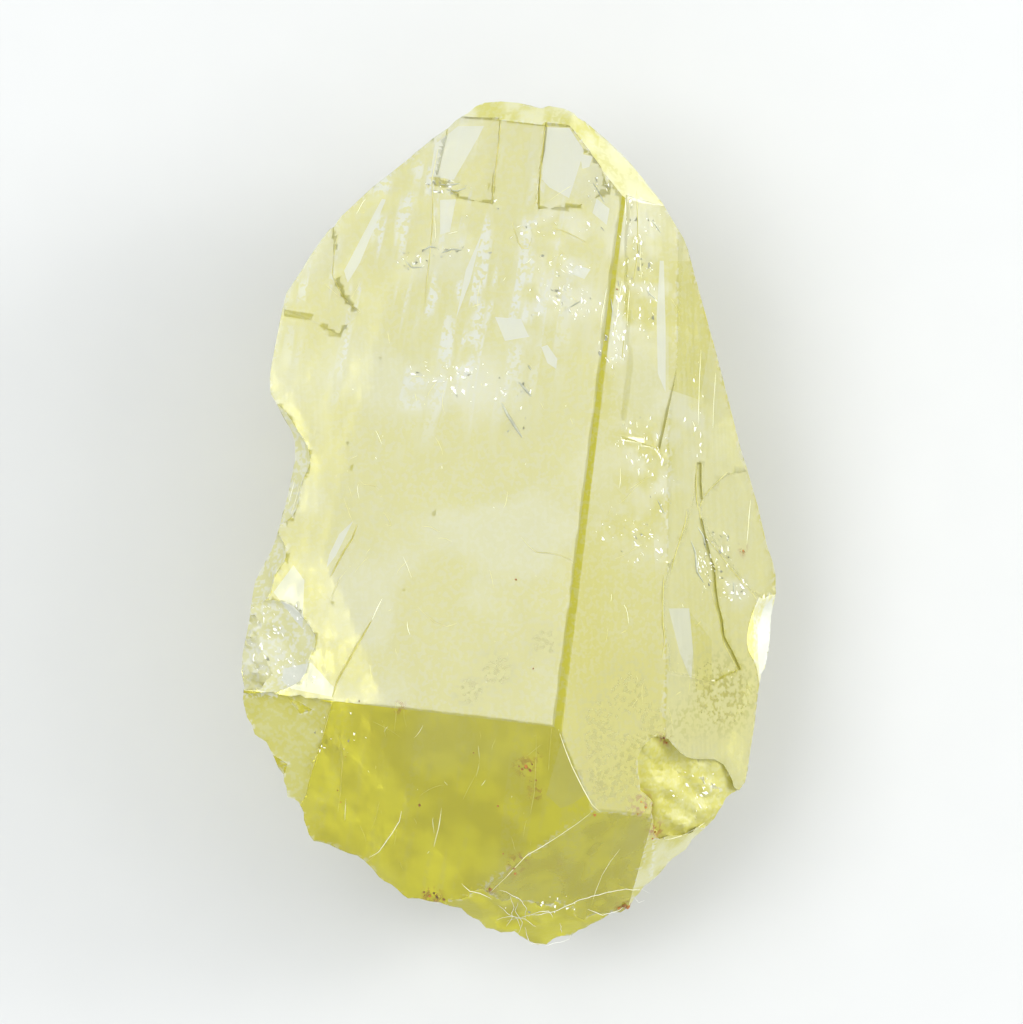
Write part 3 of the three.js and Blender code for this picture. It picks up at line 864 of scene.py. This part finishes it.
class GeometryTree(Wiring):
    """Builds a geometry node tree and bakes its result into a plain mesh."""

    def __init__(self, name: str) -> None:
        """Start an empty tree.

        Args:
            name: the tree's name.
        """
        self.name = name
        self.tree = bpy.data.node_groups.new(name, "GeometryNodeTree")
        for way in ("INPUT", "OUTPUT"):
            self.tree.interface.new_socket("Geometry", in_out=way,
                                           socket_type="NodeSocketGeometry")
        self.start = self.tree.nodes.new("NodeGroupInput")
        self.end = self.tree.nodes.new("NodeGroupOutput")
        self.values: dict[str, object] = {}

    def value(self, name: str, value: float | int) -> Socket:
        """Add a named input to the tree and return its socket."""
        kind = "NodeSocketInt" if isinstance(value, int) else "NodeSocketFloat"
        socket = self.tree.interface.new_socket(name, in_out="INPUT", socket_type=kind)
        self.values[socket.identifier] = value
        return self.start.outputs[name]

    def add(self, kind: str, settings: dict[str, object] | None = None,
            **inputs: object) -> Socket:
        """Add a node, fill its inputs and return its first output.

        Args:
            kind: the node's type name.
            settings: the properties to set on it.
            inputs: values by input name, with underscores for spaces.

        Returns:
            The first output of the node.
        """
        node = self.node(kind, **(settings or {}))
        for name, value in inputs.items():
            label = name.replace("_", " ")
            self.feed(next(s for s in node.inputs if s.enabled and s.name == label), value)
        return next(s for s in node.outputs if s.enabled)

    def named(self, name: str, kind: str = "FLOAT") -> Socket:
        """Return an attribute that the geometry carries."""
        return self.add("GeometryNodeInputNamedAttribute", {"data_type": kind}, Name=name)

    def scaled(self, vector: Socket, by: object) -> Socket:
        """Return a vector made longer or shorter."""
        return self.add("ShaderNodeVectorMath", {"operation": "SCALE"}, Vector=vector, Scale=by)

    def jitter(self, size: Socket | float) -> Socket:
        """Return a noise vector from -0.5 to 0.5 that changes over a distance in metres."""
        noise = self.node("ShaderNodeTexNoise")
        noise.inputs["Detail"].default_value = 2.0
        scale = self.node("ShaderNodeMath", operation="DIVIDE")
        scale.inputs[0].default_value = 1.0
        self.feed(scale.inputs[1], size)
        self.feed(noise.inputs["Scale"], scale.outputs[0])
        middle = self.node("ShaderNodeVectorMath", operation="SUBTRACT")
        self.feed(middle.inputs[0], noise.outputs["Color"])
        middle.inputs[1].default_value = (0.5, 0.5, 0.5)
        return middle.outputs[0]

    def scatter(self, piece: Socket, crumple: Socket, crumple_size: float) -> Socket:
        """Return a piece put at every point, spun and sized by what the point carries.

        Args:
            piece: the geometry that is put there.
            crumple: how far its surface is pushed about, in metres.
            crumple_size: the size of the dents in millimetres.

        Returns:
            The geometry of all the pieces.
        """
        scattered = self.add("GeometryNodeInstanceOnPoints", Points=self.start.outputs[0],
                             Instance=piece, Rotation=self.named("spin", "FLOAT_VECTOR"),
                             Scale=self.named("size", "FLOAT_VECTOR"))
        whole = self.add("GeometryNodeRealizeInstances", Geometry=scattered)
        return self.add("GeometryNodeSetPosition", Geometry=whole,
                        Offset=self.scaled(self.jitter(crumple_size * MM), crumple))

    def bake(self, result: Socket, material: bpy.types.Material, points: np.ndarray,
             edges: list[tuple[int, int]], values: dict[str, np.ndarray]) -> bpy.types.Object:
        """Run the tree over points and edges, and return a plain object.

        Args:
            result: the geometry that the tree makes.
            material: the material that it wears.
            points: the points that it starts from, in metres.
            edges: the edges between them.
            values: attributes of the points, by name.

        Returns:
            A new object at the origin, named like the tree.
        """
        dressed = self.add("GeometryNodeSetMaterial", Geometry=result, Material=material)
        whole = self.add("GeometryNodeRealizeInstances", Geometry=dressed)
        self.tree.links.new(whole, self.end.inputs[0])
        seed = bpy.data.meshes.new(self.name + "_seed")
        seed.from_pydata([tuple(p) for p in points], edges, [])
        carry(seed, "POINT", values)
        maker = added(self.name + "_maker", seed)
        modifier = maker.modifiers.new("make", "NODES")
        modifier.node_group = self.tree
        for identifier, value in self.values.items():
            modifier[identifier] = value
        graph = bpy.context.evaluated_depsgraph_get()
        mesh = bpy.data.meshes.new_from_object(maker.evaluated_get(graph))
        mesh.name = self.name
        piece = added(self.name, mesh)
        bpy.data.objects.remove(maker)
        bpy.data.meshes.remove(seed)
        bpy.data.node_groups.remove(self.tree)
        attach(piece, BODY)
        LOG.info("%s: %d faces", self.name, len(mesh.polygons))
        return piece


class Ground:
    """Finds the height of the crystal's front surface."""

    rim = 6.0
    above = 30.0

    def __init__(self, mesh: bpy.types.Mesh) -> None:
        """Read the surface.

        Args:
            mesh: the crystal's mesh.
        """
        self.tree = BVHTree.FromPolygons([v.co / MM for v in mesh.vertices],
                                         [tuple(p.vertices) for p in mesh.polygons])

    def depth(self, place: np.ndarray) -> float:
        """Return how far a place lies from the front surface straight above or below it."""
        hit = self.tree.ray_cast(Vector((place[0], place[1], self.above)), DOWN)[0]
        return math.inf if hit is None else abs(hit.z - place[2])

    def heights(self, points: np.ndarray) -> np.ndarray:
        """Return the height below each place, carried on past the outline.

        Args:
            points: places seen from above, one to a row.

        Returns:
            One height for each place in millimetres.
        """
        found = np.zeros(len(points))
        for index, (x, y) in enumerate(points):
            hit = self.tree.ray_cast(Vector((x, y, self.above)), DOWN)[0]
            if hit is None:
                hit = self.tree.find_nearest(Vector((x, y, self.rim)))[0]
            found[index] = hit.z
        return found


def hairlines(count: int, seed: int, boxes: tuple[tuple[float, float, float, float], ...],
              longest: float, width: float) -> tuple[Line, ...]:
    """Return short faint lines scattered over the front faces.

    Args:
        count: how many there are in each box.
        seed: the number that their places are drawn from.
        boxes: where they lie, as low X, low Y, high X and high Y.
        longest: the length of the longest.
        width: the half width of each.

    Returns:
        The lines, which bend a little.
    """
    wander, bend, shortest, pieces = 0.55, 0.18, 0.15, 3
    chance = np.random.default_rng(seed)
    lines = []
    for x0, y0, x1, y1 in boxes:
        for _ in range(count):
            start = np.array([chance.uniform(x0, x1), chance.uniform(y0, y1)])
            turn = math.radians(90 - GRAIN_TURN) + chance.normal(0.0, wander)
            step = longest * chance.uniform(shortest, 1.0) ** 2 / pieces
            points = [start]
            for _ in range(pieces):
                points.append(points[-1] + step * np.array([math.cos(turn), math.sin(turn)]))
                turn += chance.normal(0.0, bend)
            lines.append(Line(tuple((float(x), float(y)) for x, y in points), width))
    return tuple(lines)


@dataclass
class Threads:
    """Thin lines that follow the crystal's surface: cracks, worn edges with painted edge
    highlights, and lint.
    """

    name: str
    lines: tuple[Line, ...]
    finish: ThreadFinish
    lift: float = 0.0
    step: float = 0.2
    sway: float = 0.03
    sway_size: float = 0.5
    sides: int = 5
    loft: float = 0.0
    fewest: int = 5
    end_width: float = 0.25
    taper: float = 0.6

    def drawn(self, line: Line, ground: Ground) -> tuple[np.ndarray, np.ndarray]:
        """Return a line's points in space and its tapered half widths.

        Args:
            line: the line seen from above.
            ground: the surface that it lies on.

        Returns:
            The points and one half width for each.
        """
        corners = np.array(line.points)
        run = np.concatenate([[0], np.cumsum(np.linalg.norm(np.diff(corners, axis=0), axis=1))])
        count = max(self.fewest, math.ceil(run[-1] / self.step))
        at = np.linspace(0, run[-1], count)
        flat = np.stack([np.interp(at, run, corners[:, 0]), np.interp(at, run, corners[:, 1])], 1)
        share = at / run[-1]
        swell = np.sin(math.pi * share)
        height = ground.heights(flat) + self.lift + self.loft * swell
        width = line.width * (self.end_width + (1 - self.end_width) * swell ** self.taper)
        return np.column_stack([flat, height]), width

    def build(self, ground: Ground) -> bpy.types.Object:
        """Return the lines' piece.

        Args:
            ground: the surface that they lie on.

        Returns:
            The new object.
        """
        points, widths, edges = [], [], []
        for line in self.lines:
            place, width = self.drawn(line, ground)
            first = sum(map(len, points))
            edges += [(first + i, first + i + 1) for i in range(len(place) - 1)]
            points.append(place)
            widths.append(width)
        tree = GeometryTree(self.name)
        sides = tree.value("Sides", self.sides)
        sway = tree.value("Sway", self.sway * MM)
        sway_size = tree.value("Sway size", self.sway_size * MM)
        curves = tree.add("GeometryNodeMeshToCurve", Mesh=tree.start.outputs[0])
        moved = tree.add("GeometryNodeSetPosition", Geometry=curves,
                         Offset=tree.scaled(tree.jitter(sway_size), sway))
        ring = tree.add("GeometryNodeCurvePrimitiveCircle", Resolution=sides, Radius=1.0)
        tubes = tree.add("GeometryNodeCurveToMesh", Curve=moved, Profile_Curve=ring,
                         Scale=tree.named("width"), Fill_Caps=True)
        return tree.bake(tubes, self.finish.material(), np.concatenate(points) * MM, edges,
                         {"width": np.concatenate(widths) * MM})


@dataclass
class Veils:
    """Crowds of small fractures in the crystal, white plates as painted glints and grey plates as
    painted shadows beside them.
    """

    crowds: tuple[Crowd, ...]
    name: str = "inner_veils"
    seed: int = 21
    small: float = 0.03
    large: float = 0.17
    deep: float = 0.35
    thickness: float = 0.012
    slim: tuple[float, float] = (0.2, 0.5)
    depth_fall: float = 2.2
    wander: float = 0.35
    corners: int = 5
    crumple: float = 0.06
    crumple_size: float = 0.08
    finish: GrainFinish = GrainFinish("inner_veils", (0.97, 0.97, 0.88), (0.24, 0.24, 0.16), 0.14)

    def build(self, ground: Ground) -> bpy.types.Object:
        """Return the fractures' piece.

        Args:
            ground: the surface that they lie under.

        Returns:
            The new object.
        """
        chance = np.random.default_rng(self.seed)
        places, turns, tones = [], [], []
        for crowd in self.crowds:
            turn = chance.uniform(0, 2 * math.pi, crowd.count)
            reach = np.sqrt(chance.uniform(0, 1, crowd.count))
            places.append(np.stack([crowd.x + crowd.half_width * reach * np.cos(turn),
                                    crowd.y + crowd.half_height * reach * np.sin(turn)], 1))
            turns.append(np.radians(crowd.turn) + chance.normal(0.0, self.wander, crowd.count))
            tones.append((chance.uniform(0, 1, crowd.count) < crowd.grey).astype(float))
        flat = np.concatenate(places)
        count = len(flat)
        depth = self.deep * chance.uniform(0, 1, count) ** self.depth_fall
        points = np.column_stack([flat, ground.heights(flat) - depth])
        length = self.small + (self.large - self.small) * chance.uniform(0, 1, count) ** 2
        size = np.stack([length * chance.uniform(*self.slim, count), length,
                         np.full(count, self.thickness)], 1)
        tilts = [chance.normal(0.0, self.wander, count) for _ in range(2)]
        spin = np.stack([*tilts, np.concatenate(turns)], 1)
        tree = GeometryTree(self.name)
        corners = tree.value("Corners", self.corners)
        crumple = tree.value("Crumple", self.crumple * MM)
        plate = tree.add("GeometryNodeMeshCylinder", Vertices=corners, Radius=1.0, Depth=1.0)
        ragged = tree.scatter(plate, crumple, self.crumple_size)
        return tree.bake(ragged, self.finish.material(), points * MM, [],
                         {"spin": spin, "size": size * MM, "tone": np.concatenate(tones)})


@dataclass
class RustGrains:
    """Small grains of rust and dirt that sit in pits on the crystal."""

    grains: tuple[Spot, ...]
    name: str = "rust_grains"
    seed: int = 5
    widths: tuple[float, float] = (0.6, 1.3)
    flatness: float = 0.5
    tilt: float = 0.6
    lift: float = 0.01
    crumple: float = 0.05
    crumple_size: float = 0.04
    finish: GrainFinish = GrainFinish("rust_grains", (0.46, 0.17, 0.03), (0.10, 0.06, 0.02), 0.7)

    def build(self, ground: Ground) -> bpy.types.Object:
        """Return the grains' piece.

        Args:
            ground: the surface that they sit on.

        Returns:
            The new object.
        """
        chance = np.random.default_rng(self.seed)
        grains = np.array(self.grains)
        count = len(grains)
        heights = np.array([ground.heights(g[None, :2])[0] for g in grains])
        radius = grains[:, 2]
        size = np.stack([radius, radius * chance.uniform(*self.widths, count),
                         self.flatness * radius], 1)
        spin = chance.uniform(-self.tilt, self.tilt, (count, 3))
        tree = GeometryTree(self.name)
        crumple = tree.value("Crumple", self.crumple * MM)
        lump = tree.add("GeometryNodeMeshIcoSphere", Radius=1.0, Subdivisions=2)
        ragged = tree.scatter(lump, crumple, self.crumple_size)
        points = np.column_stack([grains[:, :2], heights + self.lift])
        return tree.bake(ragged, self.finish.material(), points * MM, [],
                         {"spin": spin, "size": size * MM, "tone": chance.uniform(0, 1, count)})


@dataclass
class Crystal:
    """The crystal itself, with a fine surface made from its solid."""

    half_width: float = 12.5
    half_length: float = 17.5
    height: float = 12.5
    across: float = 0.2
    along: float = 0.22
    upward: float = 0.4
    stray: float = 0.35
    margin: float = 0.15
    chips_above: float = -6.3
    base_below: float = -12.4
    steps_above: float = 6.0
    steps_middle: float = 2.1
    steps_reach: float = 7.1
    step_gap: float = 0.03
    step_depth: float = 0.3
    pit: Spot = (-9.3, -4.4, 3.2)
    pit_rings: float = 0.55
    streaked: Spot = (-3.2, 9.4, 5.6)
    merge: float = 1e-3
    snap: float = 2e-3
    flat_angle: float = 0.3
    sharp_angle: float = 18.0
    front_rise: float = 0.3
    torn_rise: float = 0.12
    slope_match: float = 1.0
    back_height: float = 0.02
    back_rise: float = -0.9
    grain_stretch: float = 0.05
    grain_rise: float = 0.1
    shift: float = 5.0
    wide_layers: tuple[Layer, Layer] = (Layer(0.35, 2.6), Layer(0.15, 1.2))
    coarse_layers: tuple[Layer, Layer] = (Layer(0.33, 0.8), Layer(0.17, 0.4))
    growth_layers: tuple[Layer, Layer] = (Layer(1.0, 0.55), Layer(0.5, 0.3))
    growth_shift: float = 9.0
    terraces: int = 2
    growth: float = 0.012
    side_growth: float = 0.25
    swell: Layer = Layer(0.006, 2.2)
    break_layers: tuple[Layer, Layer] = (Layer(0.04, 0.9), Layer(0.012, 0.4))
    chip_layers: tuple[Layer, Layer] = (Layer(0.03, 0.7), Layer(0.006, 0.4))
    ring_layer: Layer = Layer(0.5, 1.2)
    ring_depth: float = 0.014
    wall_layers: tuple[Layer, Layer] = (Layer(0.1, 1.4), Layer(0.05, 0.5))
    wall_sink: float = 0.06
    edge_highlight_above: float = 1.0
    shade_from: float = 1.5
    shade_fade: float = 6.0
    outer_shade_share: float = 0.3
    grey_from: float = 0.3
    streak_rim: float = 0.4
    cloud_rim: float = 0.8
    etched_rim: float = 1.0
    rust_rim: float = 0.6
    slice_seed: int = 7
    lump_seed: int = 3
    grain_seed: int = 8
    finish: CrystalFinish = field(default_factory=CrystalFinish)

    def sliced(self, source: bpy.types.Mesh) -> bpy.types.Mesh:
        """Return the solid's surface cut into small faces along the crystal's grain.

        Args:
            source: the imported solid's mesh.

        Returns:
            A new mesh of small triangles, with every flat face still flat.
        """
        work = bmesh.new()
        work.from_mesh(source)
        bmesh.ops.remove_doubles(work, verts=work.verts, dist=self.merge * MM)
        bmesh.ops.dissolve_limit(work, angle_limit=math.radians(self.flat_angle),
                                 verts=work.verts, edges=work.edges)
        turn = math.radians(GRAIN_TURN)
        chance = np.random.default_rng(self.slice_seed)
        runs = (
            (Vector((math.cos(turn), -math.sin(turn), 0)), self.half_width, self.across),
            (Vector((math.sin(turn), math.cos(turn), 0)), self.half_length, self.along),
            (Vector((0, 0, 1)), self.height, self.upward),
        )
        for direction, reach, step in runs:
            start = 0.0 if direction.z else -reach
            for at in np.arange(start + step / 2, reach, step):
                at += self.stray * step * chance.uniform(-1, 1)
                bmesh.ops.bisect_plane(work, geom=[*work.verts, *work.edges, *work.faces],
                                       dist=self.snap * MM, plane_co=direction * at * MM,
                                       plane_no=direction)
        for pane in (*MILK_PANES, *YELLOW_PANES):
            self.cut_pane(work, pane)
        bmesh.ops.triangulate(work, faces=work.faces)
        mesh = bpy.data.meshes.new("crystal_surface")
        work.to_mesh(mesh)
        work.free()
        return mesh

    def cut_pane(self, work: bmesh.types.BMesh, pane: tuple[Point, ...]) -> None:
        """Cut an outline's edges into the front faces round it.

        Args:
            work: the surface to cut.
            pane: the outline's corners.
        """
        low = (np.min(pane, axis=0) - self.margin) * MM
        high = (np.max(pane, axis=0) + self.margin) * MM
        for start, end in zip(pane, pane[1:] + pane[:1]):
            across = Vector((end[1] - start[1], start[0] - end[0], 0.0)).normalized()
            faces = [f for f in work.faces if f.normal.z > self.front_rise
                     and low[0] < (c := f.calc_center_median()).x < high[0]
                     and low[1] < c.y < high[1]]
            parts = {*faces, *(e for f in faces for e in f.edges),
                     *(v for f in faces for v in f.verts)}
            bmesh.ops.bisect_plane(work, geom=list(parts), dist=self.snap * MM, plane_no=across,
                                   plane_co=Vector((*start, 0.0)) * MM)

    def zones(self, mesh: bpy.types.Mesh) -> np.ndarray:
        """Return the zone number of each face, from the way that it looks.

        Args:
            mesh: the sliced surface.

        Returns:
            One Zone value for each face.
        """
        normals = vectors(mesh.polygons, "normal")
        centres = vectors(mesh.polygons, "center") / MM
        found = np.where(normals[:, 2] > self.torn_rise, Zone.BREAK.value, Zone.WALL.value)
        match = math.cos(math.radians(self.slope_match))
        for slope in FRONT_SLOPES:
            found[normals @ slope.normal() > match] = slope.zone.value
        torn = found == Zone.BREAK.value
        found[torn & (centres[:, 1] > self.chips_above)] = Zone.CHIP.value
        inner = np.abs(centres[:, 0] - self.steps_middle) < self.steps_reach
        stepped = torn & ((centres[:, 1] > self.steps_above) | inner)
        found[stepped & (centres[:, 1] > self.chips_above)] = Zone.STEP.value
        found[torn & (centres[:, 1] < self.base_below)] = Zone.BASE.value
        behind = (centres[:, 2] < self.back_height) & (normals[:, 2] < self.back_rise)
        found[behind] = Zone.BACK.value
        walls = np.flatnonzero(found == Zone.WALL.value)
        outside = centres[walls] + self.step_gap * normals[walls]
        ground = Ground(mesh)
        near = np.array([ground.depth(place) < self.step_depth for place in outside], bool)
        found[walls[near]] = Zone.STEP.value
        return found

    def build(self, source: bpy.types.Object) -> bpy.types.Object:
        """Return the crystal's piece.

        Args:
            source: the CAD node's object.

        Returns:
            The new object, at the origin, with its material.
        """
        mesh = self.sliced(source.data)
        zones = self.zones(mesh)
        corners = np.zeros(len(mesh.loops), int)
        mesh.loops.foreach_get("vertex_index", corners)
        corners = corners.reshape(-1, 3)
        count = len(mesh.vertices)
        places = vectors(mesh.vertices, "co") / MM
        normals = vectors(mesh.vertices, "normal")

        def among(*kinds: Zone) -> np.ndarray:
            """Return whether each face is in one of these zones."""
            return np.isin(zones, [kind.value for kind in kinds])

        def wholly(*kinds: Zone) -> np.ndarray:
            """Return 1 for each vertex whose faces are all in these zones."""
            weight = np.ones(count)
            weight[corners[~among(*kinds)].ravel()] = 0
            return weight

        lumps, grain = ValueNoise(self.lump_seed), ValueNoise(self.grain_seed)
        turn = math.radians(GRAIN_TURN)
        skewed = np.stack([
            places[:, 0] * math.cos(turn) - places[:, 1] * math.sin(turn),
            self.grain_stretch * (places[:, 0] * math.sin(turn) + places[:, 1] * math.cos(turn)),
            self.grain_rise * places[:, 2],
        ], axis=1)
        wide = 0.5 + lumps.layer(places, self.wide_layers[0])
        wide += lumps.layer(places + self.shift, self.wide_layers[1])
        coarse = 0.5 + grain.layer(places, self.coarse_layers[0])
        coarse += grain.layer(places + self.shift, self.coarse_layers[1])
        growth = grain.layer(skewed, self.growth_layers[0])
        growth += grain.layer(skewed + self.growth_shift, self.growth_layers[1])
        flat = wholly(Zone.MAIN) + self.side_growth * (wholly(Zone.SIDE) + wholly(Zone.OUTER))
        rough = wholly(Zone.BREAK, Zone.BASE)
        chip = wholly(Zone.CHIP)
        wall = wholly(Zone.WALL)
        pit_x, pit_y, pit_radius = self.pit
        ring = np.hypot(places[:, 0] - pit_x, places[:, 1] - pit_y)
        ring += lumps.layer(places, self.ring_layer)
        terraces = np.round(self.terraces * growth) / self.terraces
        push = flat * (self.growth * terraces + lumps.layer(places, self.swell))
        for share, layers in ((rough, self.break_layers), (chip, self.chip_layers),
                              (wall, self.wall_layers)):
            push += share * (lumps.layer(places, layers[0]) + grain.layer(places, layers[1]))
        waves = np.sin(2 * math.pi * ring / self.pit_rings)
        push += chip * (ring < pit_radius) * self.ring_depth * waves
        push -= wall * self.wall_sink
        places += normals * push[:, None]
        mesh.vertices.foreach_set("co", (places * MM).ravel())

        rear = (Zone.BREAK, Zone.BASE, Zone.WALL, Zone.BACK)
        front = 1 - among(*rear)
        middles = places[corners].mean(axis=1)[:, :2]
        cloudy = (Zone.BREAK, Zone.BASE, Zone.CHIP, Zone.STEP, Zone.BEVEL, Zone.CORNER)
        frosted = among(*cloudy)
        mesh.polygons.foreach_set("material_index", frosted.astype(np.int32))
        face_marks = {
            "lower": among(Zone.LOWER, Zone.END),
            "broken": among(Zone.BREAK),
            "base": among(Zone.BASE),
            "chip": among(Zone.CHIP),
            "bevel": among(Zone.BEVEL, Zone.CORNER),
            "step": among(Zone.STEP),
            "wall": among(Zone.WALL, Zone.BACK),
            "ridge": among(Zone.RIDGE),
            "frosted": frosted,
            "milk_pane": front * in_panes(middles, MILK_PANES),
            "yellow_pane": front * in_panes(middles, YELLOW_PANES),
        }
        whole = sum(wholly(zone) for zone in Zone)
        # Pale rims where zones meet: partly edge wear, partly painted highlight where rounded
        # edges catch light.
        unhighlit_zones = (Zone.RIDGE, Zone.STEP)
        touches_unhighlit = 1 - wholly(*(zone for zone in Zone if zone not in unhighlit_zones))
        bare = (1 - wholly(Zone.MAIN, Zone.LOWER)) * (1 - touches_unhighlit)
        facing = wholly(*(zone for zone in Zone if zone not in rear))
        side = wholly(Zone.SIDE, Zone.OUTER)
        # Painted shade: towards -Y the side faces darken to gold, standing in for their sheen
        # fading towards the bottom.
        low = np.clip((self.shade_from - places[:, 1]) / self.shade_fade, 0, 1)
        outer = wholly(Zone.OUTER)
        clouds = [(crowd.x, crowd.y, 0.5 * (crowd.half_width + crowd.half_height))
                  for crowd in CROWDS if crowd.grey < self.grey_from]
        point_marks = {
            # painted highlight on zone borders, partly real edge wear
            "edge_wear_and_highlight": (1 - whole) * bare * (places[:, 2] > self.edge_highlight_above),
            "streaked": in_spots(places, (self.streaked,), self.streak_rim),
            "wide": wide,
            "coarse": coarse,
            "low_side_painted_shade": side * low * (1 - (1 - self.outer_shade_share) * outer),
            "outer": outer,
            "cloudy": facing * in_spots(places, clouds, self.cloud_rim),
            "etched": facing * in_spots(places, ETCHED_SPOTS, self.etched_rim),
            "rusty": in_spots(places, RUST_SPOTS, self.rust_rim),
        }
        marks = {name: np.repeat(mark.astype(float), 3) for name, mark in face_marks.items()}
        marks.update({name: mark[corners.ravel()] for name, mark in point_marks.items()})
        carry(mesh, "CORNER", self.finish.tints(marks))
        mesh.shade_smooth()
        mesh.set_sharp_from_angle(angle=math.radians(self.sharp_angle))
        mesh.update()
        crystal = added("crystal_surface", mesh)
        for kind in (False, True):
            mesh.materials.append(self.finish.material(kind))
        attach(crystal, BODY)
        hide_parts(CRYSTAL_NODE)
        LOG.info("crystal: %d faces", len(mesh.polygons))
        return crystal


@dataclass(frozen=True)
class SoftLight:
    """A soft box that shines on the crystal from one direction."""

    name: str
    towards: Triple
    distance: float
    width: float
    height: float
    radiance: float
    colour: Colour = (1.0, 1.0, 1.0)

    def build(self, aim: Vector) -> bpy.types.Object:
        """Return the light, turned to a point.

        Args:
            aim: the point that it shines on, in metres.

        Returns:
            The light's object.
        """
        lamp = bpy.data.lights.new(self.name, "AREA")
        lamp.shape = "RECTANGLE"
        lamp.size = self.width
        lamp.size_y = self.height
        lamp.energy = self.radiance * math.pi * self.width * self.height
        lamp.color = self.colour
        box = added(self.name, lamp)
        direction = Vector(self.towards).normalized()
        box.location = aim + direction * self.distance
        box.rotation_euler = direction.to_track_quat("Z", "Y").to_euler()
        return box


@dataclass
class Studio:
    """A pale floor, soft light and a camera that looks straight down."""

    view_height: float = 38.4
    view_centre: Point = (0.056, 0.544)
    focus_height: float = 8.5
    lens: float = 300.0
    sensor: float = 36.0
    floor_size: float = 0.9
    floor_tone: Colour = (0.60, 0.60, 0.59)
    surround: Colour = (0.95, 0.98, 1.0)
    surround_strength: float = 0.95
    floor_gap: float = 0.02
    floor_grain: float = 3.0
    floor_drift: float = 1.02
    floor_rough: float = 0.6
    nearest: float = 0.01
    farthest: float = 10.0
    bounces: int = 6
    diffuse_bounces: int = 2
    glossy_bounces: int = 3
    lights: tuple[SoftLight, ...] = (
        SoftLight("key_box", (-0.444, 0.171, 0.882), 0.6, 0.34, 0.34, 4.4, (0.97, 0.99, 1.0)),
        SoftLight("side_box", (0.80, 0.05, 0.58), 0.6, 0.30, 0.36, 2.2, (0.98, 0.99, 1.0)),
        SoftLight("low_box", (0.96, 0.25, 0.14), 0.42, 0.14, 0.40, 10.5, (0.98, 0.99, 1.0)),
        SoftLight("top_box", (0.12, 1.0, 0.30), 0.45, 0.30, 0.16, 1.4, (0.98, 0.99, 1.0)),
    )

    def camera(self) -> None:
        """Put the camera over the crystal, with a long lens."""
        lens = bpy.data.cameras.new("camera")
        lens.lens = self.lens
        lens.sensor_width = self.sensor
        lens.clip_start = self.nearest
        lens.clip_end = self.farthest
        camera = added("camera", lens)
        distance = self.view_height * self.lens / self.sensor
        camera.location = (self.view_centre[0] * MM, self.view_centre[1] * MM,
                           (self.focus_height + distance) * MM)
        bpy.context.scene.camera = camera

    def floor(self) -> None:
        """Lay a plain pale floor under the crystal."""
        mesh = bpy.data.meshes.new("floor")
        half = self.floor_size / 2
        mesh.from_pydata([(-half, -half, 0), (half, -half, 0), (half, half, 0), (-half, half, 0)],
                         [], [(0, 1, 2, 3)])
        floor = added("floor", mesh)
        floor.location.z = -self.floor_gap * MM
        n = Nodes("floor_paint")
        grain = n.noise(n.place(), self.floor_grain, 1.0, flat=True)
        light = tuple(min(1.0, self.floor_drift * c) for c in self.floor_tone)
        mesh.materials.append(n.principled(Base_Color=n.mix(grain, self.floor_tone, light),
                                           Roughness=self.floor_rough))

    def world(self) -> None:
        """Light everything evenly from all round."""
        world = bpy.data.worlds.new("studio")
        world.use_nodes = True
        background = world.node_tree.nodes["Background"]
        background.inputs["Color"].default_value = (*self.surround, 1.0)
        background.inputs["Strength"].default_value = self.surround_strength
        bpy.context.scene.world = world

    def build(self) -> None:
        """Set up the camera, floor and light."""
        self.camera()
        self.floor()
        self.world()
        aim = Vector((0, 0, self.focus_height * MM))
        for light in self.lights:
            light.build(aim)
        scene = bpy.context.scene
        scene.view_settings.view_transform = "Standard"
        scene.cycles.max_bounces = self.bounces
        scene.cycles.transmission_bounces = self.bounces
        scene.cycles.diffuse_bounces = self.diffuse_bounces
        scene.cycles.glossy_bounces = self.glossy_bounces
        LOG.info("studio: %d lights", len(self.lights))


def main() -> None:
    """Build the crystal's looks and the studio round them."""
    logging.basicConfig(level=logging.INFO, format="%(message)s")
    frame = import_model()
    Studio().build()
    crystal = Crystal().build(frame["nodes"][CRYSTAL_NODE])
    ground = Ground(crystal.data)
    Veils(CROWDS).build(ground)
    olive = ThreadFinish("crack_olive", (0.42, 0.38, 0.07), (0.56, 0.52, 0.16), 0.4)
    grey = ThreadFinish("split_grey", (0.30, 0.31, 0.22), (0.48, 0.49, 0.38), 0.25)
    wear_and_highlight_finish = ThreadFinish("wear_and_highlight_white", (0.74, 0.72, 0.42), (0.90, 0.90, 0.74), 0.35)
    lint = ThreadFinish("lint", (0.80, 0.80, 0.74), (0.92, 0.92, 0.88), 0.8)
    dark_hairs = hairlines(24, 11, HAIRLINE_BOXES, longest=1.3, width=0.007)
    pale_hairs = hairlines(9, 12, HAIRLINE_BOXES, longest=1.0, width=0.008)
    for threads in (
            Threads("crack_lines", CRACKS, olive),
            Threads("grey_splits", SPLITS, grey, step=0.08),
            # painted edge highlights along some edges, together with real wear and scratches
            Threads("wear_and_highlight_lines", WEAR_AND_HIGHLIGHT_LINES, wear_and_highlight_finish),
            Threads("hairlines", dark_hairs, olive),
            Threads("pale_hairlines", pale_hairs, wear_and_highlight_finish),
            Threads("lint_fibres", LINT, lint, lift=0.03, step=0.12, sway=0.25, sway_size=0.9,
                    sides=6, loft=0.12),
    ):
        threads.build(ground)
    RustGrains(RUST_GRAINS).build(ground)


if __name__ == "__main__":
    main()
